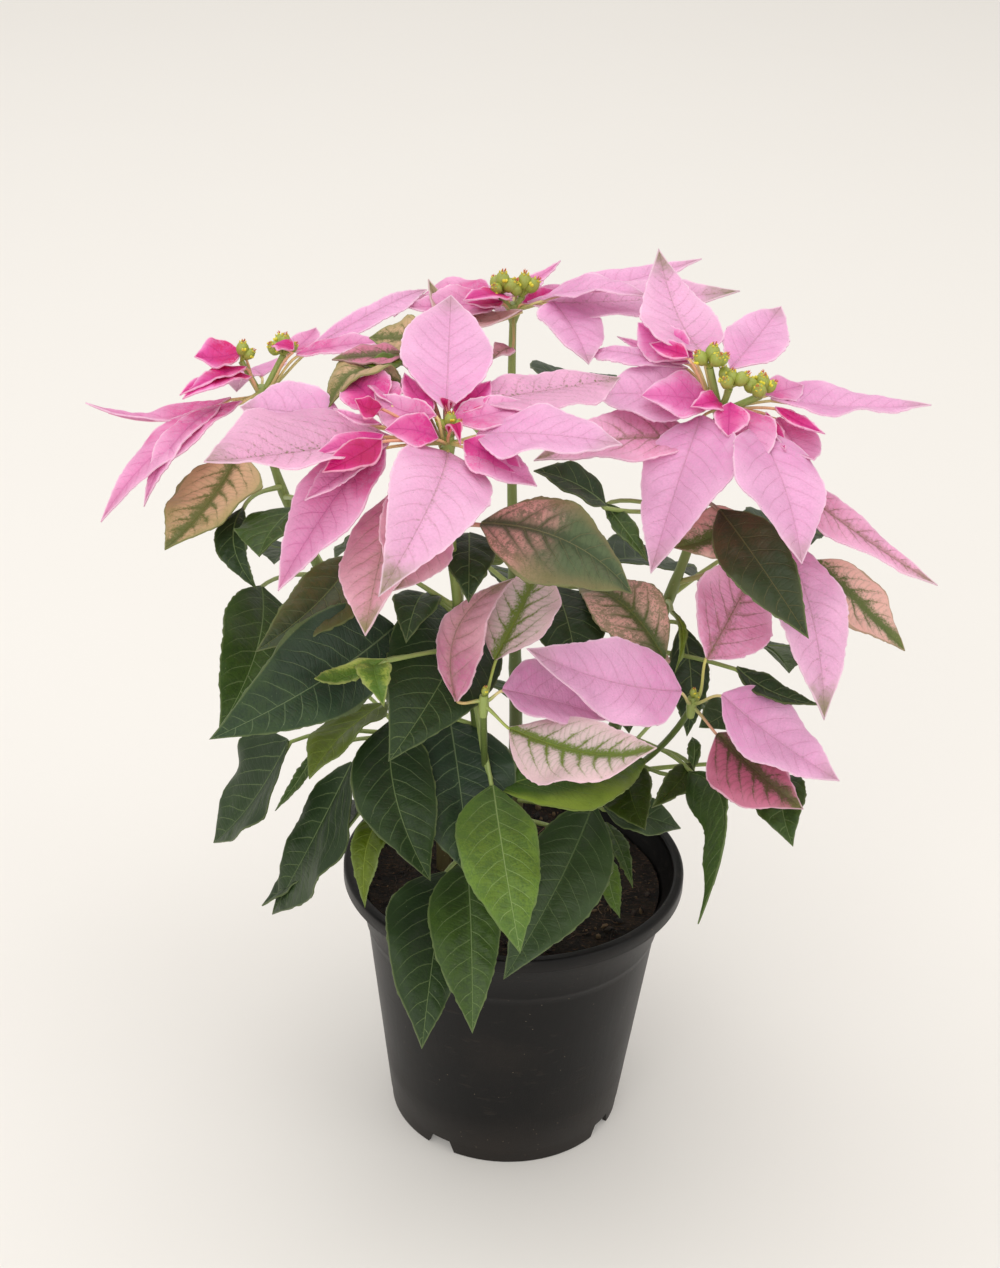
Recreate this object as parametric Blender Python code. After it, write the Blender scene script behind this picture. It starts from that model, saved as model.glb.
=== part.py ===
"""A pink poinsettia in its black plastic nursery pot, built as it grows.

The pot stands on z = 0. It holds a block of peat with four plain holes, and a rooted stem stands in
each. A leafy stem is one solid: its stem, its side shoot, the leaf stalks and the leaves. On each tip
sits a bloom, one solid too: a short collar, the coloured bracts that stand round it in layers, and
over it the cyathia, the true flowers. Two side shoots low on the front and right stems carry small
blooms. Lengths are in millimetres from the middle of the pot's foot until the last step, which moves
the origin under the middle of the whole plant and goes to metres.
"""

import random
from math import cos, pi, radians, sin, tan
from typing import NamedTuple

import bmesh
import bpy
from mathutils import Vector

METRES_PER_MM = 0.001
CLEARANCE = 0.3
POT_PLACE = (9.0, -15.0, 0.0)

# Pot: a standard 13 cm nursery pot
RIM_RADIUS = 65.0
RIM_WIDTH = 4.0
RIM_HEIGHT = 5.5
RIM_ROUNDING = 0.5
SHOULDER_DEPTH = 4.4
POT_HEIGHT = 110.8
BASE_RADIUS = 45.2
BODY_TOP_RADIUS = 58.9
WALL = 1.2
STEP_HEIGHT = 86.0
STEP_DEPTH = 0.6
STEP_SLOPE = 1.0
FOOT_RING_HEIGHT = 6.5
FOOT_RING_WIDTH = 1.8
FOOT_RING_SLOPE = 0.5
FLOOR = 1.4
POT_SIDES = 36
NOTCH_AZIMUTHS = (57.5, 147.5, 237.5, 327.5)
NOTCH_BOTTOM_WIDTH = 13.0
NOTCH_TOP_WIDTH = 8.5
NOTCH_HEIGHT = 5.6
NOTCH_REACH = 6.0
CUT_PAST = 1.0
DRAIN_RADIUS = 4.5
DRAIN_CIRCLE = 34.0
DRAIN_SIDES = 10

# Soil: peat filled to a little under the rim
SOIL_LEVEL = 101.0
SOIL_BUMP = 1.6
SOIL_EDGE = 1.0
SOIL_RINGS = (14.0, 28.0, 42.0)
HOLE_DEPTH = 40.0
HOLE_SIDES = 10
SOIL_SEED = 5

# Stems
STEM_SIDES = 8
STEM_STATIONS = 8
STEM_FOOT_RADIUS = 3.6
STEM_TIP_RADIUS = 1.6
HOLE_RADIUS = STEM_FOOT_RADIUS + 0.6
STRAIGHT_ABOVE_SOIL = 5.0
SHOOT_RADIUS = 1.8
SHOOT_STATIONS = 5
SHOOT_LIFT = 6.0
LOWEST_STALK = SOIL_LEVEL + 12.0
STALK_SLOPE = 0.35

# Blades: leaves and bracts alike
BLADE_THICKNESS = 0.8
MIDRIB_THICKNESS = 1.2
STALK_RADIUS = 1.1
STALK_ARCH = 0.12
SHORT_STALK = 22.0
FOLD = 10.0
TIP_HALF_WIDTH = 0.5

# Blooms: collars and heads of cyathia
COLLAR_RADIUS = 2.8
COLLAR_HEIGHT = 8.0
BRANCH_RADIUS = 1.1
BUD_RADIUS = 2.0
BUD_LENGTH = 5.0
BUD_STALK = 2.5
BUD_STALK_RADIUS = 0.8
BUD_SIDES = 5
BUD_LEAN = 48.0
BUD_TURN = 0.3
BUD_ROOT = 0.5
HEAD_SEED = 11


class Stem(NamedTuple):
    """A rooted stem: its place in the soil, and the middle of its bloom's collar."""

    foot: tuple
    bloom: tuple


class Shoot(NamedTuple):
    """A side shoot: the stem that it grows from, the height it leaves it at, and its bloom's collar."""

    stem: str
    joint: float
    bloom: tuple


class Blade(NamedTuple):
    """A leaf or bract: its foot, the way its chord points in degrees, and its shape.

    The arch is how far the middle of the midrib stands above the chord, and the roll turns the blade
    about its chord. The joint is the height where its stalk leaves the stem, worked out if left out.
    """

    foot: tuple
    heading: float
    rise: float
    length: float
    width: float
    arch: float = 5.0
    roll: float = 0.0
    joint: float = 0.0


STEMS = {
    "front": Stem((-7, -22), (-27, -60, 306)),
    "right": Stem((24, -2), (64, 0, 297)),
    "back": Stem((0, 26), (-8, 62, 308)),
    "left": Stem((-27, 8), (-97, 32, 284)),
}

SHOOTS = {
    "low_front": Shoot("front", 165, (-13, -75, 221)),
    "low_right": Shoot("right", 150, (58, -46, 207)),
}

LEAVES = {
    "front": (
        Blade((-16, -62, 281), -35, -8, 60, 38, roll=15),
        Blade((-60, -40, 258), 237, -22, 53, 34, roll=-10),
        Blade((-35, -50, 240), 210, -18, 81, 48, roll=-10),
        Blade((-42, -58, 250), 230, -20, 41, 24),
        Blade((-38, -60, 248), 258, -30, 38, 22),
        Blade((-25, -62, 254), 248, -34, 62, 36),
        Blade((-49, -40, 202), 230, -20, 38, 24),
        Blade((-60, -40, 183), 242, -40, 66, 30),
        Blade((-51, -56, 211), 298, -42, 64, 40),
        Blade((-25, -60, 218), 281, -42, 58, 38),
        Blade((-8, -60, 180), 282, -35, 60, 34, joint=212),
        Blade((-6, -58, 182), -6, 13, 52, 30, roll=15, joint=208),
        Blade((-32, -62, 147), 273, -52, 62, 28),
        Blade((-18, -66, 152), 278, -50, 57, 30),
        Blade((-53, -57, 165), 276, -40, 36, 20),
        Blade((-20, -42, 268), 272, -24, 30, 18),
        Blade((-34, -42, 245), 258, -14, 26, 16),
    ),
    "left": (
        Blade((-99, 8, 266), 230, -24, 46, 34, roll=-8),
        Blade((-100, -5, 255), 282, -45, 31, 12, joint=250),
        Blade((-80, -15, 262), 231, -15, 29, 20),
        Blade((-92, -20, 234), 256, -38, 55, 34),
        Blade((-82, -25, 177), 236, -30, 49, 28),
        Blade((-75, -30, 172), 241, -25, 26, 16),
        Blade((-57, -45, 164), 222, -32, 50, 28),
        Blade((-80, 50, 215), 115, -30, 58, 34),
        Blade((-70, 45, 165), 130, -35, 56, 32),
    ),
    "right": (
        Blade((64, -25, 272), 302, -26, 58, 38, roll=10),
        Blade((72, -15, 270), 224, -10, 32, 20),
        Blade((104, -10, 248), 310, -25, 44, 26),
        Blade((47, -42, 224), 135, 15, 46, 30),
        Blade((72, -40, 220), 326, -5, 32, 14),
        Blade((54, -8, 219), 270, -50, 38, 20),
        Blade((59, -48, 181), 276, -50, 50, 14, joint=170),
        Blade((90, -40, 164), 288, -20, 21, 16),
        Blade((29, -35, 161), 328, 0, 32, 18),
        Blade((26, -38, 160), 240, -35, 69, 30),
        Blade((25, -38, 275), 193, 10, 39, 22, roll=-10),
        Blade((10, -16, 236), 285, -30, 40, 28),
        Blade((27, -14, 212), 290, -30, 36, 28),
        Blade((85, 25, 240), 60, -25, 58, 32),
        Blade((80, 25, 195), 55, -35, 58, 32),
        Blade((60, 40, 160), 60, -35, 56, 30),
    ),
    "back": (
        Blade((17, -20, 129), 317, 0, 36, 18),
        Blade((13, -25, 122), 300, -5, 34, 18),
        Blade((8, 92, 270), 70, -25, 62, 34),
        Blade((-32, 90, 262), 120, -20, 64, 34),
        Blade((32, 70, 205), 40, -25, 60, 36),
        Blade((-36, 66, 218), 140, -30, 62, 36),
        Blade((0, 84, 190), 90, -35, 64, 36),
        Blade((-6, 62, 150), 95, -30, 58, 32),
    ),
}

BRACTS = {
    "front": (
        Blade((-29, -56, 317), 90, 20, 55, 34, arch=-3),
        Blade((-33, -66, 308), 256, -32, 58, 42, roll=-12),
        Blade((-49, -60, 311), 202, -3, 58, 38, arch=1, roll=-14),
        Blade((-47, -66, 305), 238, -28, 58, 30),
        Blade((-44, -68, 297), 264, -38, 60, 28),
        Blade((-36, -66, 296), 283, -30, 44, 26),
        Blade((-18, -62, 313), -15, 3, 51, 36, arch=2, roll=12),
        Blade((-13, -45, 321), 20, 0, 44, 28, arch=2, roll=8),
        Blade((-47, -53, 314), 166, -4, 47, 40, arch=6, roll=-8),
        Blade((-24, -58, 315), 28, 5, 28, 20, arch=2, roll=15),
        Blade((-22, -66, 311), 318, -8, 25, 18, arch=3, roll=15),
        Blade((-22, -68, 307), 325, -12, 30, 18, arch=2, roll=10),
        Blade((-32, -58, 313), 138, 8, 27, 18, arch=2, roll=-8),
        Blade((-32, -56, 317), 122, 12, 21, 11, arch=2),
        Blade((-50, -55, 319), 156, 0, 16, 15, arch=2),
        Blade((-50, -55, 321), 83, 8, 20, 13, arch=2),
        Blade((-48, -62, 309), 232, -8, 28, 19, arch=3, roll=-22),
        Blade((-48, -66, 304), 224, -16, 32, 20, arch=3),
    ),
    "right": (
        Blade((58, 7, 317), 107, 22, 55, 34, arch=-4),
        Blade((68, 6, 311), 64, 12, 44, 33),
        Blade((81, 0, 303), -8, 4, 57, 27, arch=0, roll=5),
        Blade((87, -6, 296), -30, -34, 74, 26, arch=2),
        Blade((56, -8, 300), 250, -38, 64, 38),
        Blade((77, -14, 293), 286, -30, 53, 35),
        Blade((56, 0, 307), 204, 0, 39, 34, arch=2, roll=-20),
        Blade((61, 0, 304), 194, 8, 26, 20, arch=2, roll=-22),
        Blade((53, 6, 314), 121, 5, 33, 22, arch=2, roll=-10),
        Blade((50, 6, 309), 124, 1, 38, 12, arch=2),
        Blade((45, 8, 306), 170, -6, 33, 26, arch=3, roll=-8),
        Blade((72, -8, 300), 278, -22, 28, 22, arch=2),
        Blade((80, -6, 300), 282, -16, 22, 10, arch=2),
        Blade((83, -8, 299), 294, -13, 27, 18, arch=3),
        Blade((57, -10, 290), 180, -9, 57, 32, roll=-12),
        Blade((88, -20, 262), 281, -35, 66, 30),
    ),
    "back": (
        Blade((-11, 60, 315), 217, 15, 30, 14, arch=2),
        Blade((-13, 62, 313), 200, 2, 37, 16, arch=1),
        Blade((-7, 52, 313), 190, 19, 34, 22, arch=-4),
        Blade((-5, 60, 314), 49, -2, 20, 12, arch=1),
        Blade((-2, 62, 316), 46, -6, 28, 14, arch=2),
        Blade((0, 54, 314), 300, -14, 38, 30, arch=3),
        Blade((3, 60, 313), -4, 7, 70, 28, arch=2),
        Blade((2, 56, 316), -14, 8, 40, 22, arch=3),
        Blade((3, 66, 314), 22, 8, 63, 16, arch=1),
        Blade((-8, 70, 312), 97, -28, 50, 28),
        Blade((-16, 68, 311), 150, -20, 46, 28),
    ),
    "left": (
        Blade((-105, 34, 293), 190, 14, 20, 17, arch=-2),
        Blade((-104, 30, 293), 230, -5, 28, 16, arch=2),
        Blade((-104, 28, 293), 240, -11, 31, 13, arch=2),
        Blade((-93, 34, 298), 58, 5, 27, 15, arch=2),
        Blade((-83, 28, 298), -8, 8, 35, 13, arch=2),
        Blade((-82, 26, 297), 0, 12, 19, 12, arch=1),
        Blade((-105, 22, 287), 227, -28, 67, 24, roll=15),
        Blade((-110, 30, 286), 205, 2, 53, 24, arch=-5, roll=15),
        Blade((-110, 19, 284), 240, -26, 52, 20),
        Blade((-83, 34, 296), 45, 14, 53, 22, arch=7),
        Blade((-98, 42, 288), 111, -28, 46, 28),
    ),
    "low_front": (
        Blade((-10, -65, 231), 50, 45, 34, 28, arch=2),
        Blade((-7, -74, 226), 3, -16, 36, 26, arch=2, roll=15),
        Blade((-22, -76, 225), 55, 44, 44, 24, arch=2, roll=-10),
        Blade((-6, -82, 218), 344, 1, 51, 28, arch=2, roll=18),
    ),
    "low_right": (
        Blade((50, -58, 219), 203, 23, 62, 38, arch=4, roll=-22),
        Blade((63, -46, 222), 66, 42, 38, 30, arch=2),
        Blade((68, -56, 212), 322, -15, 50, 32, arch=4, roll=15),
        Blade((65, -62, 205), 312, -15, 43, 28, arch=4),
    ),
}

# Clusters of cyathia in each bloom: where the cluster's branch ends, and how many stand there
HEADS = {
    "front": (((-27, -61, 312), 4),),
    "right": (((59, -2, 314), 3), ((66, -5, 308), 2), ((77, -3, 305), 3)),
    "back": (((-13, 59, 316), 3), ((-6, 61, 317), 3)),
    "left": (((-104, 32, 297), 1), ((-89, 32, 300), 3)),
    "low_front": (((-13, -75, 226), 1),),
    "low_right": (((58, -46, 212), 1),),
}

# Radius along a cyathium from its foot, as (place along it, part of its full radius)
BUD_OUTLINE = ((0.0, 0.55), (0.5, 1.0), (1.0, 0.5))

# Half width of a blade from its foot to its tip, as (place along the blade, part of its half width)
LONG_OUTLINE = ((0.0, 0.12), (0.20, 0.80), (0.42, 1.0), (0.72, 0.62), (1.0, 0.0))
SHORT_OUTLINE = ((0.0, 0.16), (0.34, 1.0), (0.68, 0.74), (1.0, 0.0))
LONG_BLADE = 48.0

# How far the two edges wave up at each station in turn, as a part of the half width there
LEFT_WAVE = (0.0, 0.12, -0.06, 0.14, 0.0)
RIGHT_WAVE = (0.0, -0.06, 0.14, -0.06, 0.0)


def clear_scene():
    for old in list(bpy.data.objects):
        bpy.data.objects.remove(old)


def make_material(name, colour, roughness):
    material = bpy.data.materials.new(name)
    material.use_nodes = True
    shader = material.node_tree.nodes["Principled BSDF"]
    shader.inputs["Base Color"].default_value = (*colour, 1.0)
    shader.inputs["Roughness"].default_value = roughness
    shader.inputs["Metallic"].default_value = 0.0
    material.diffuse_color = (*colour, 1.0)
    return material


def add_object(name, points, faces, material=None):
    mesh = bpy.data.meshes.new(name)
    mesh.from_pydata([tuple(point) for point in points], [], faces)
    if material:
        mesh.materials.append(material)
    built = bpy.data.objects.new(name, mesh)
    bpy.context.scene.collection.objects.link(built)
    return built


def face_outwards(built):
    work = bmesh.new()
    work.from_mesh(built.data)
    bmesh.ops.recalc_face_normals(work, faces=work.faces)
    work.to_mesh(built.data)
    work.free()


def loft(name, rings):
    """A closed solid through rings of as many points each, with flat ends."""
    count = len(rings[0])
    points = [point for ring in rings for point in ring]
    faces = []
    for place in range(len(rings) - 1):
        near = place * count
        far = near + count
        for side in range(count):
            after = (side + 1) % count
            if side < count // 2:
                faces.append((near + side, near + after, far + after))
                faces.append((near + side, far + after, far + side))
            else:
                faces.append((near + side, near + after, far + side))
                faces.append((near + after, far + after, far + side))
    faces.append(tuple(reversed(range(count))))
    faces.append(tuple(range(len(points) - count, len(points))))
    built = add_object(name, points, faces)
    face_outwards(built)
    return built


def turned(name, profile, sides, material):
    """A solid turned about the z axis from a closed (radius, height) outline; a radius of 0 is on it."""
    points = []
    first = []
    for radius, height in profile:
        first.append(len(points))
        steps = 1 if radius == 0 else sides
        for step in range(steps):
            angle = 2 * pi * step / sides
            points.append((radius * cos(angle), radius * sin(angle), height))
    faces = []
    for place, (radius, _) in enumerate(profile):
        after = (place + 1) % len(profile)
        next_radius = profile[after][0]
        if radius == 0 and next_radius == 0:
            continue
        for step in range(sides):
            turn = (step + 1) % sides
            near = [first[place]] if radius == 0 else [first[place] + step, first[place] + turn]
            far = [first[after]] if next_radius == 0 else [first[after] + turn, first[after] + step]
            faces.append(tuple(near + far))
    built = add_object(name, points, faces, material)
    face_outwards(built)
    return built


def apply_boolean(built, operation, others, solver):
    """Applies one Boolean of this object with a collection of others, and removes the others."""
    group = bpy.data.collections.new(built.name + "_others")
    bpy.context.scene.collection.children.link(group)
    for other in others:
        group.objects.link(other)
    modifier = built.modifiers.new("Join", "BOOLEAN")
    modifier.operation = operation
    modifier.operand_type = "COLLECTION"
    modifier.collection = group
    modifier.solver = solver
    graph = bpy.context.evaluated_depsgraph_get()
    result = bpy.data.meshes.new_from_object(built.evaluated_get(graph))
    built.modifiers.clear()
    built.data = result
    for other in others:
        bpy.data.objects.remove(other)
    bpy.data.collections.remove(group)


def islands(work):
    """The loose parts of a bmesh, each as a list of its faces."""
    left = set(work.faces)
    found = []
    while left:
        start = left.pop()
        part = [start]
        for face in part:
            for edge in face.edges:
                for other in edge.link_faces:
                    if other in left:
                        left.remove(other)
                        part.append(other)
        found.append(part)
    return found


def keep_main_body(built):
    """Drops loose scraps and the inner shells of sealed hollows, which fills them."""
    work = bmesh.new()
    work.from_mesh(built.data)
    parts = sorted(islands(work), key=len)
    scraps = [face for part in parts[:-1] for face in part]
    bmesh.ops.delete(work, geom=scraps, context="FACES")
    work.to_mesh(built.data)
    work.free()


def fuse(trunk, pieces, material):
    """Joins pieces to their trunk in one solid with one material."""
    apply_boolean(trunk, "UNION", pieces, "MANIFOLD")
    keep_main_body(trunk)
    trunk.data.materials.clear()
    trunk.data.materials.append(material)


def body_radius(height):
    """The pot's outer radius under its lip, without the step on the lower wall."""
    return BASE_RADIUS + (BODY_TOP_RADIUS - BASE_RADIUS) * height / (POT_HEIGHT - RIM_HEIGHT)


def bore_radius(height):
    """The pot's inner radius below its lip."""
    return body_radius(height) - STEP_DEPTH - WALL


def pot_profile():
    """Half of the pot's section: foot ring, wall with its step, lip turned down outside, and floor."""
    lip_bottom = POT_HEIGHT - RIM_HEIGHT
    shoulder = POT_HEIGHT - SHOULDER_DEPTH
    inner = RIM_RADIUS - RIM_WIDTH
    floor_top = FOOT_RING_HEIGHT + FLOOR
    step_top = STEP_HEIGHT + STEP_SLOPE
    return [
        (BASE_RADIUS, 0.0),
        (BASE_RADIUS + FOOT_RING_SLOPE, FOOT_RING_HEIGHT - FOOT_RING_SLOPE),
        (body_radius(FOOT_RING_HEIGHT), FOOT_RING_HEIGHT),
        (body_radius(STEP_HEIGHT) - STEP_DEPTH, STEP_HEIGHT),
        (body_radius(step_top), step_top),
        (BODY_TOP_RADIUS, lip_bottom - RIM_ROUNDING),
        (inner + WALL, shoulder),
        (inner + WALL, POT_HEIGHT - WALL),
        (RIM_RADIUS - WALL, POT_HEIGHT - WALL),
        (RIM_RADIUS - WALL, lip_bottom),
        (RIM_RADIUS, lip_bottom),
        (RIM_RADIUS, POT_HEIGHT - RIM_ROUNDING),
        (RIM_RADIUS - RIM_ROUNDING, POT_HEIGHT),
        (inner, POT_HEIGHT),
        (inner, shoulder + RIM_ROUNDING),
        (BODY_TOP_RADIUS - WALL, lip_bottom - RIM_ROUNDING),
        (bore_radius(floor_top), floor_top),
        (0.0, floor_top),
        (0.0, FOOT_RING_HEIGHT),
        (BASE_RADIUS - FOOT_RING_WIDTH, FOOT_RING_HEIGHT),
        (BASE_RADIUS - FOOT_RING_WIDTH, 0.0),
    ]


def notch_cutter(azimuth):
    """A block that cuts one water notch, wider at its foot, through the foot ring."""
    angle = radians(azimuth)
    rings = []
    for reach in (BASE_RADIUS - NOTCH_REACH, BASE_RADIUS + NOTCH_REACH):
        ring = []
        for across, height in (
            (-NOTCH_BOTTOM_WIDTH / 2, -CUT_PAST),
            (NOTCH_BOTTOM_WIDTH / 2, -CUT_PAST),
            (NOTCH_TOP_WIDTH / 2, NOTCH_HEIGHT),
            (-NOTCH_TOP_WIDTH / 2, NOTCH_HEIGHT),
        ):
            ring.append(
                (
                    reach * cos(angle) - across * sin(angle),
                    reach * sin(angle) + across * cos(angle),
                    height,
                )
            )
        rings.append(ring)
    return loft("notch", rings)


def upright_cutter(x, y, radius, bottom, top, sides):
    """A round upright cutter."""
    rings = []
    for height in (bottom, top):
        ring = []
        for step in range(sides):
            angle = 2 * pi * step / sides
            ring.append((x + radius * cos(angle), y + radius * sin(angle), height))
        rings.append(ring)
    return loft("hole", rings)


def build_pot(material):
    pot = turned("pot", pot_profile(), POT_SIDES, material)
    below_floor = FOOT_RING_HEIGHT - CUT_PAST
    above_floor = FOOT_RING_HEIGHT + FLOOR + CUT_PAST
    cutters = []
    for azimuth in NOTCH_AZIMUTHS:
        cutters.append(notch_cutter(azimuth))
        x = DRAIN_CIRCLE * cos(radians(azimuth))
        y = DRAIN_CIRCLE * sin(radians(azimuth))
        cutters.append(upright_cutter(x, y, DRAIN_RADIUS, below_floor, above_floor, DRAIN_SIDES))
    apply_boolean(pot, "DIFFERENCE", cutters, "EXACT")
    return pot


def build_soil(material):
    """Peat from the pot's floor up to a lumpy top, with a plain hole for each stem."""
    bottom = FOOT_RING_HEIGHT + FLOOR + CLEARANCE
    edge = bore_radius(SOIL_LEVEL) - CLEARANCE
    profile = [(0.0, bottom), (bore_radius(bottom) - CLEARANCE, bottom), (edge, SOIL_LEVEL)]
    profile += [(radius, SOIL_LEVEL) for radius in reversed(SOIL_RINGS)]
    profile.append((0.0, SOIL_LEVEL))
    soil = turned("soil", profile, POT_SIDES, material)
    draw = random.Random(SOIL_SEED)
    for vertex in soil.data.vertices:
        if vertex.co.z > SOIL_LEVEL - CLEARANCE and vertex.co.xy.length < edge - SOIL_EDGE:
            vertex.co.z += draw.uniform(-SOIL_BUMP, SOIL_BUMP)
    hole_bottom = SOIL_LEVEL - HOLE_DEPTH
    hole_top = SOIL_LEVEL + SOIL_BUMP + CUT_PAST
    cutters = [
        upright_cutter(*stem.foot, HOLE_RADIUS, hole_bottom, hole_top, HOLE_SIDES)
        for stem in STEMS.values()
    ]
    apply_boolean(soil, "DIFFERENCE", cutters, "EXACT")
    return soil


def bezier(start, start_handle, end_handle, end, place):
    """A point on a cubic curve."""
    left = 1 - place
    return (
        start * left**3
        + start_handle * (3 * left**2 * place)
        + end_handle * (3 * left * place**2)
        + end * place**3
    )


def stem_path(stem):
    """Points up a rooted stem: upright through the soil, then curving to under its bloom."""
    x, y = stem.foot
    root = Vector((x, y, SOIL_LEVEL - HOLE_DEPTH + CLEARANCE))
    start = Vector((x, y, SOIL_LEVEL + STRAIGHT_ABOVE_SOIL))
    end = Vector(stem.bloom) - Vector((0, 0, COLLAR_HEIGHT / 2 + CLEARANCE))
    reach = (end.z - start.z) / 3
    points = [root]
    for station in range(STEM_STATIONS + 1):
        place = station / STEM_STATIONS
        points.append(bezier(start, start + Vector((0, 0, reach)), end - Vector((0, 0, reach)), end, place))
    return points


def shoot_path(shoot):
    """Points along a side shoot from its stem to under its bloom."""
    start = point_at_height(stem_path(STEMS[shoot.stem]), shoot.joint)
    end = Vector(shoot.bloom) - Vector((0, 0, COLLAR_HEIGHT / 2 + CLEARANCE))
    outwards = Vector((end.x - start.x, end.y - start.y, 0))
    start_handle = start + outwards / 2 + Vector((0, 0, SHOOT_LIFT))
    end_handle = end - Vector((0, 0, (end.z - start.z) / 2))
    return [
        bezier(start, start_handle, end_handle, end, station / SHOOT_STATIONS)
        for station in range(SHOOT_STATIONS + 1)
    ]


def point_at_height(path, height):
    """The point where a rising path passes a height."""
    for low, high in zip(path, path[1:]):
        if low.z <= height <= high.z:
            return low.lerp(high, (height - low.z) / (high.z - low.z))
    return path[-1] if height > path[-1].z else path[0]


def tube(name, path, radii, sides):
    """A round tube along a path that rises, each ring square to the path."""
    rings = []
    for place, point in enumerate(path):
        before = path[max(place - 1, 0)]
        after = path[min(place + 1, len(path) - 1)]
        along = (after - before).normalized()
        if place == len(path) - 1:
            along = Vector((0, 0, 1))
        across = Vector((0, 1, 0)).cross(along).normalized()
        over = along.cross(across)
        ring = []
        for step in range(sides):
            angle = 2 * pi * step / sides
            ring.append(point + (across * cos(angle) + over * sin(angle)) * radii[place])
        rings.append(ring)
    return loft(name, rings)


def stem_tube(name, path, foot_radius, tip_radius):
    steps = len(path) - 1
    radii = [foot_radius + (tip_radius - foot_radius) * place / steps for place in range(len(path))]
    return tube(name, path, radii, STEM_SIDES)


def blade_axes(blade):
    """A blade's three directions: along its chord, across it, and out of its upper face."""
    heading = radians(blade.heading)
    rise = radians(blade.rise)
    roll = radians(blade.roll)
    along = Vector((cos(rise) * cos(heading), cos(rise) * sin(heading), sin(rise)))
    level = Vector((-sin(heading), cos(heading), 0.0))
    across = level * cos(roll) + along.cross(level) * sin(roll)
    return along, across, along.cross(across)


def six_sided_ring(centre, across, face, half_width, lifts, middle, edge):
    """A ring round a midrib: left edge, midrib and right edge, first on the upper face."""
    left = centre + across * half_width + face * lifts[0]
    right = centre - across * half_width + face * lifts[1]
    return [
        left + face * edge,
        centre + face * middle,
        right + face * edge,
        right - face * edge,
        centre - face * middle,
        left - face * edge,
    ]


def stalk_rings(start, foot, across):
    """Rings along a stalk from inside its stem to the foot of its blade."""
    span = foot - start
    points = [start, start.lerp(foot, 0.5) + Vector((0, 0, STALK_ARCH * span.length))]
    if span.length < SHORT_STALK:
        points = [start]
    along = span.normalized()
    across = (across - along * across.dot(along)).normalized()
    face = along.cross(across)
    return [
        six_sided_ring(point, across, face, STALK_RADIUS, (0, 0), STALK_RADIUS, STALK_RADIUS / 2)
        for point in points
    ]


def blade_rings(blade):
    """Rings from the foot to the tip of a blade, folded up along its midrib and waved at its edges."""
    along, across, face = blade_axes(blade)
    outline = LONG_OUTLINE if blade.length > LONG_BLADE else SHORT_OUTLINE
    fold = tan(radians(FOLD))
    rings = []
    for station, (place, part) in enumerate(outline):
        height = 4 * blade.arch * place * (1 - place)
        centre = Vector(blade.foot) + along * (blade.length * place) + face * height
        half_width = max(part * blade.width / 2, TIP_HALF_WIDTH)
        lifts = (
            half_width * (fold + LEFT_WAVE[station]),
            half_width * (fold + RIGHT_WAVE[station]),
        )
        rings.append(
            six_sided_ring(
                centre, across, face, half_width, lifts, MIDRIB_THICKNESS / 2, BLADE_THICKNESS / 2
            )
        )
    return rings


def build_blade(name, blade, start):
    """A leaf or bract in one closed solid, with its stalk from a point inside the stem or collar."""
    _, across, _ = blade_axes(blade)
    return loft(name, stalk_rings(start, Vector(blade.foot), across) + blade_rings(blade))


def stalk_start(blade, path):
    """The point on a stem where a leaf's stalk leaves it."""
    foot = Vector(blade.foot)
    joint = blade.joint
    if not joint:
        near = point_at_height(path, foot.z)
        joint = foot.z - STALK_SLOPE * (foot - near).length
    return point_at_height(path, max(joint, LOWEST_STALK))


def build_leafy_stem(name, material):
    """A rooted stem with its side shoot and its leaves, in one solid."""
    path = stem_path(STEMS[name])
    node = "leafy_stem_" + name
    trunk = stem_tube(node, path, STEM_FOOT_RADIUS, STEM_TIP_RADIUS)
    pieces = [
        build_blade(f"{node}.leaf.{number}", blade, stalk_start(blade, path))
        for number, blade in enumerate(LEAVES[name])
    ]
    for shoot_name, shoot in SHOOTS.items():
        if shoot.stem == name:
            side = shoot_path(shoot)
            pieces.append(stem_tube(f"{node}.{shoot_name}", side, SHOOT_RADIUS, SHOOT_RADIUS))
    fuse(trunk, pieces, material)


def round_ring(centre, along, radius, sides):
    """A ring of points square to a direction."""
    across = along.orthogonal().normalized()
    over = along.cross(across)
    return [
        centre + (across * cos(2 * pi * step / sides) + over * sin(2 * pi * step / sides)) * radius
        for step in range(sides)
    ]


def build_bud(name, root, along):
    """A cyathium on its short stalk: a narrow-necked cup."""
    rings = [round_ring(root, along, BUD_STALK_RADIUS, BUD_SIDES)]
    for place, part in BUD_OUTLINE:
        centre = root + along * (BUD_STALK + BUD_LENGTH * place)
        rings.append(round_ring(centre, along, BUD_RADIUS * part, BUD_SIDES))
    return loft(name, rings)


def build_head(node, centre, clusters):
    """The pieces of a head of cyathia: from inside the collar, a branch to each cluster, and its buds."""
    draw = random.Random(HEAD_SEED)
    pieces = []
    for number, (place, count) in enumerate(clusters):
        end = Vector(place)
        along = (end - centre).normalized()
        branch = [round_ring(point, along, BRANCH_RADIUS, BUD_SIDES) for point in (centre, end)]
        pieces.append(loft(f"{node}.branch.{number}", branch))
        for bud in range(count):
            lean = radians(BUD_LEAN) if bud else 0.0
            turn = 2 * pi * bud / max(count - 1, 1) + draw.uniform(-BUD_TURN, BUD_TURN)
            direction = Vector((sin(lean) * cos(turn), sin(lean) * sin(turn), cos(lean)))
            root = end - direction * BUD_ROOT
            pieces.append(build_bud(f"{node}.bud.{number}.{bud}", root, direction))
    return pieces


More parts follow.
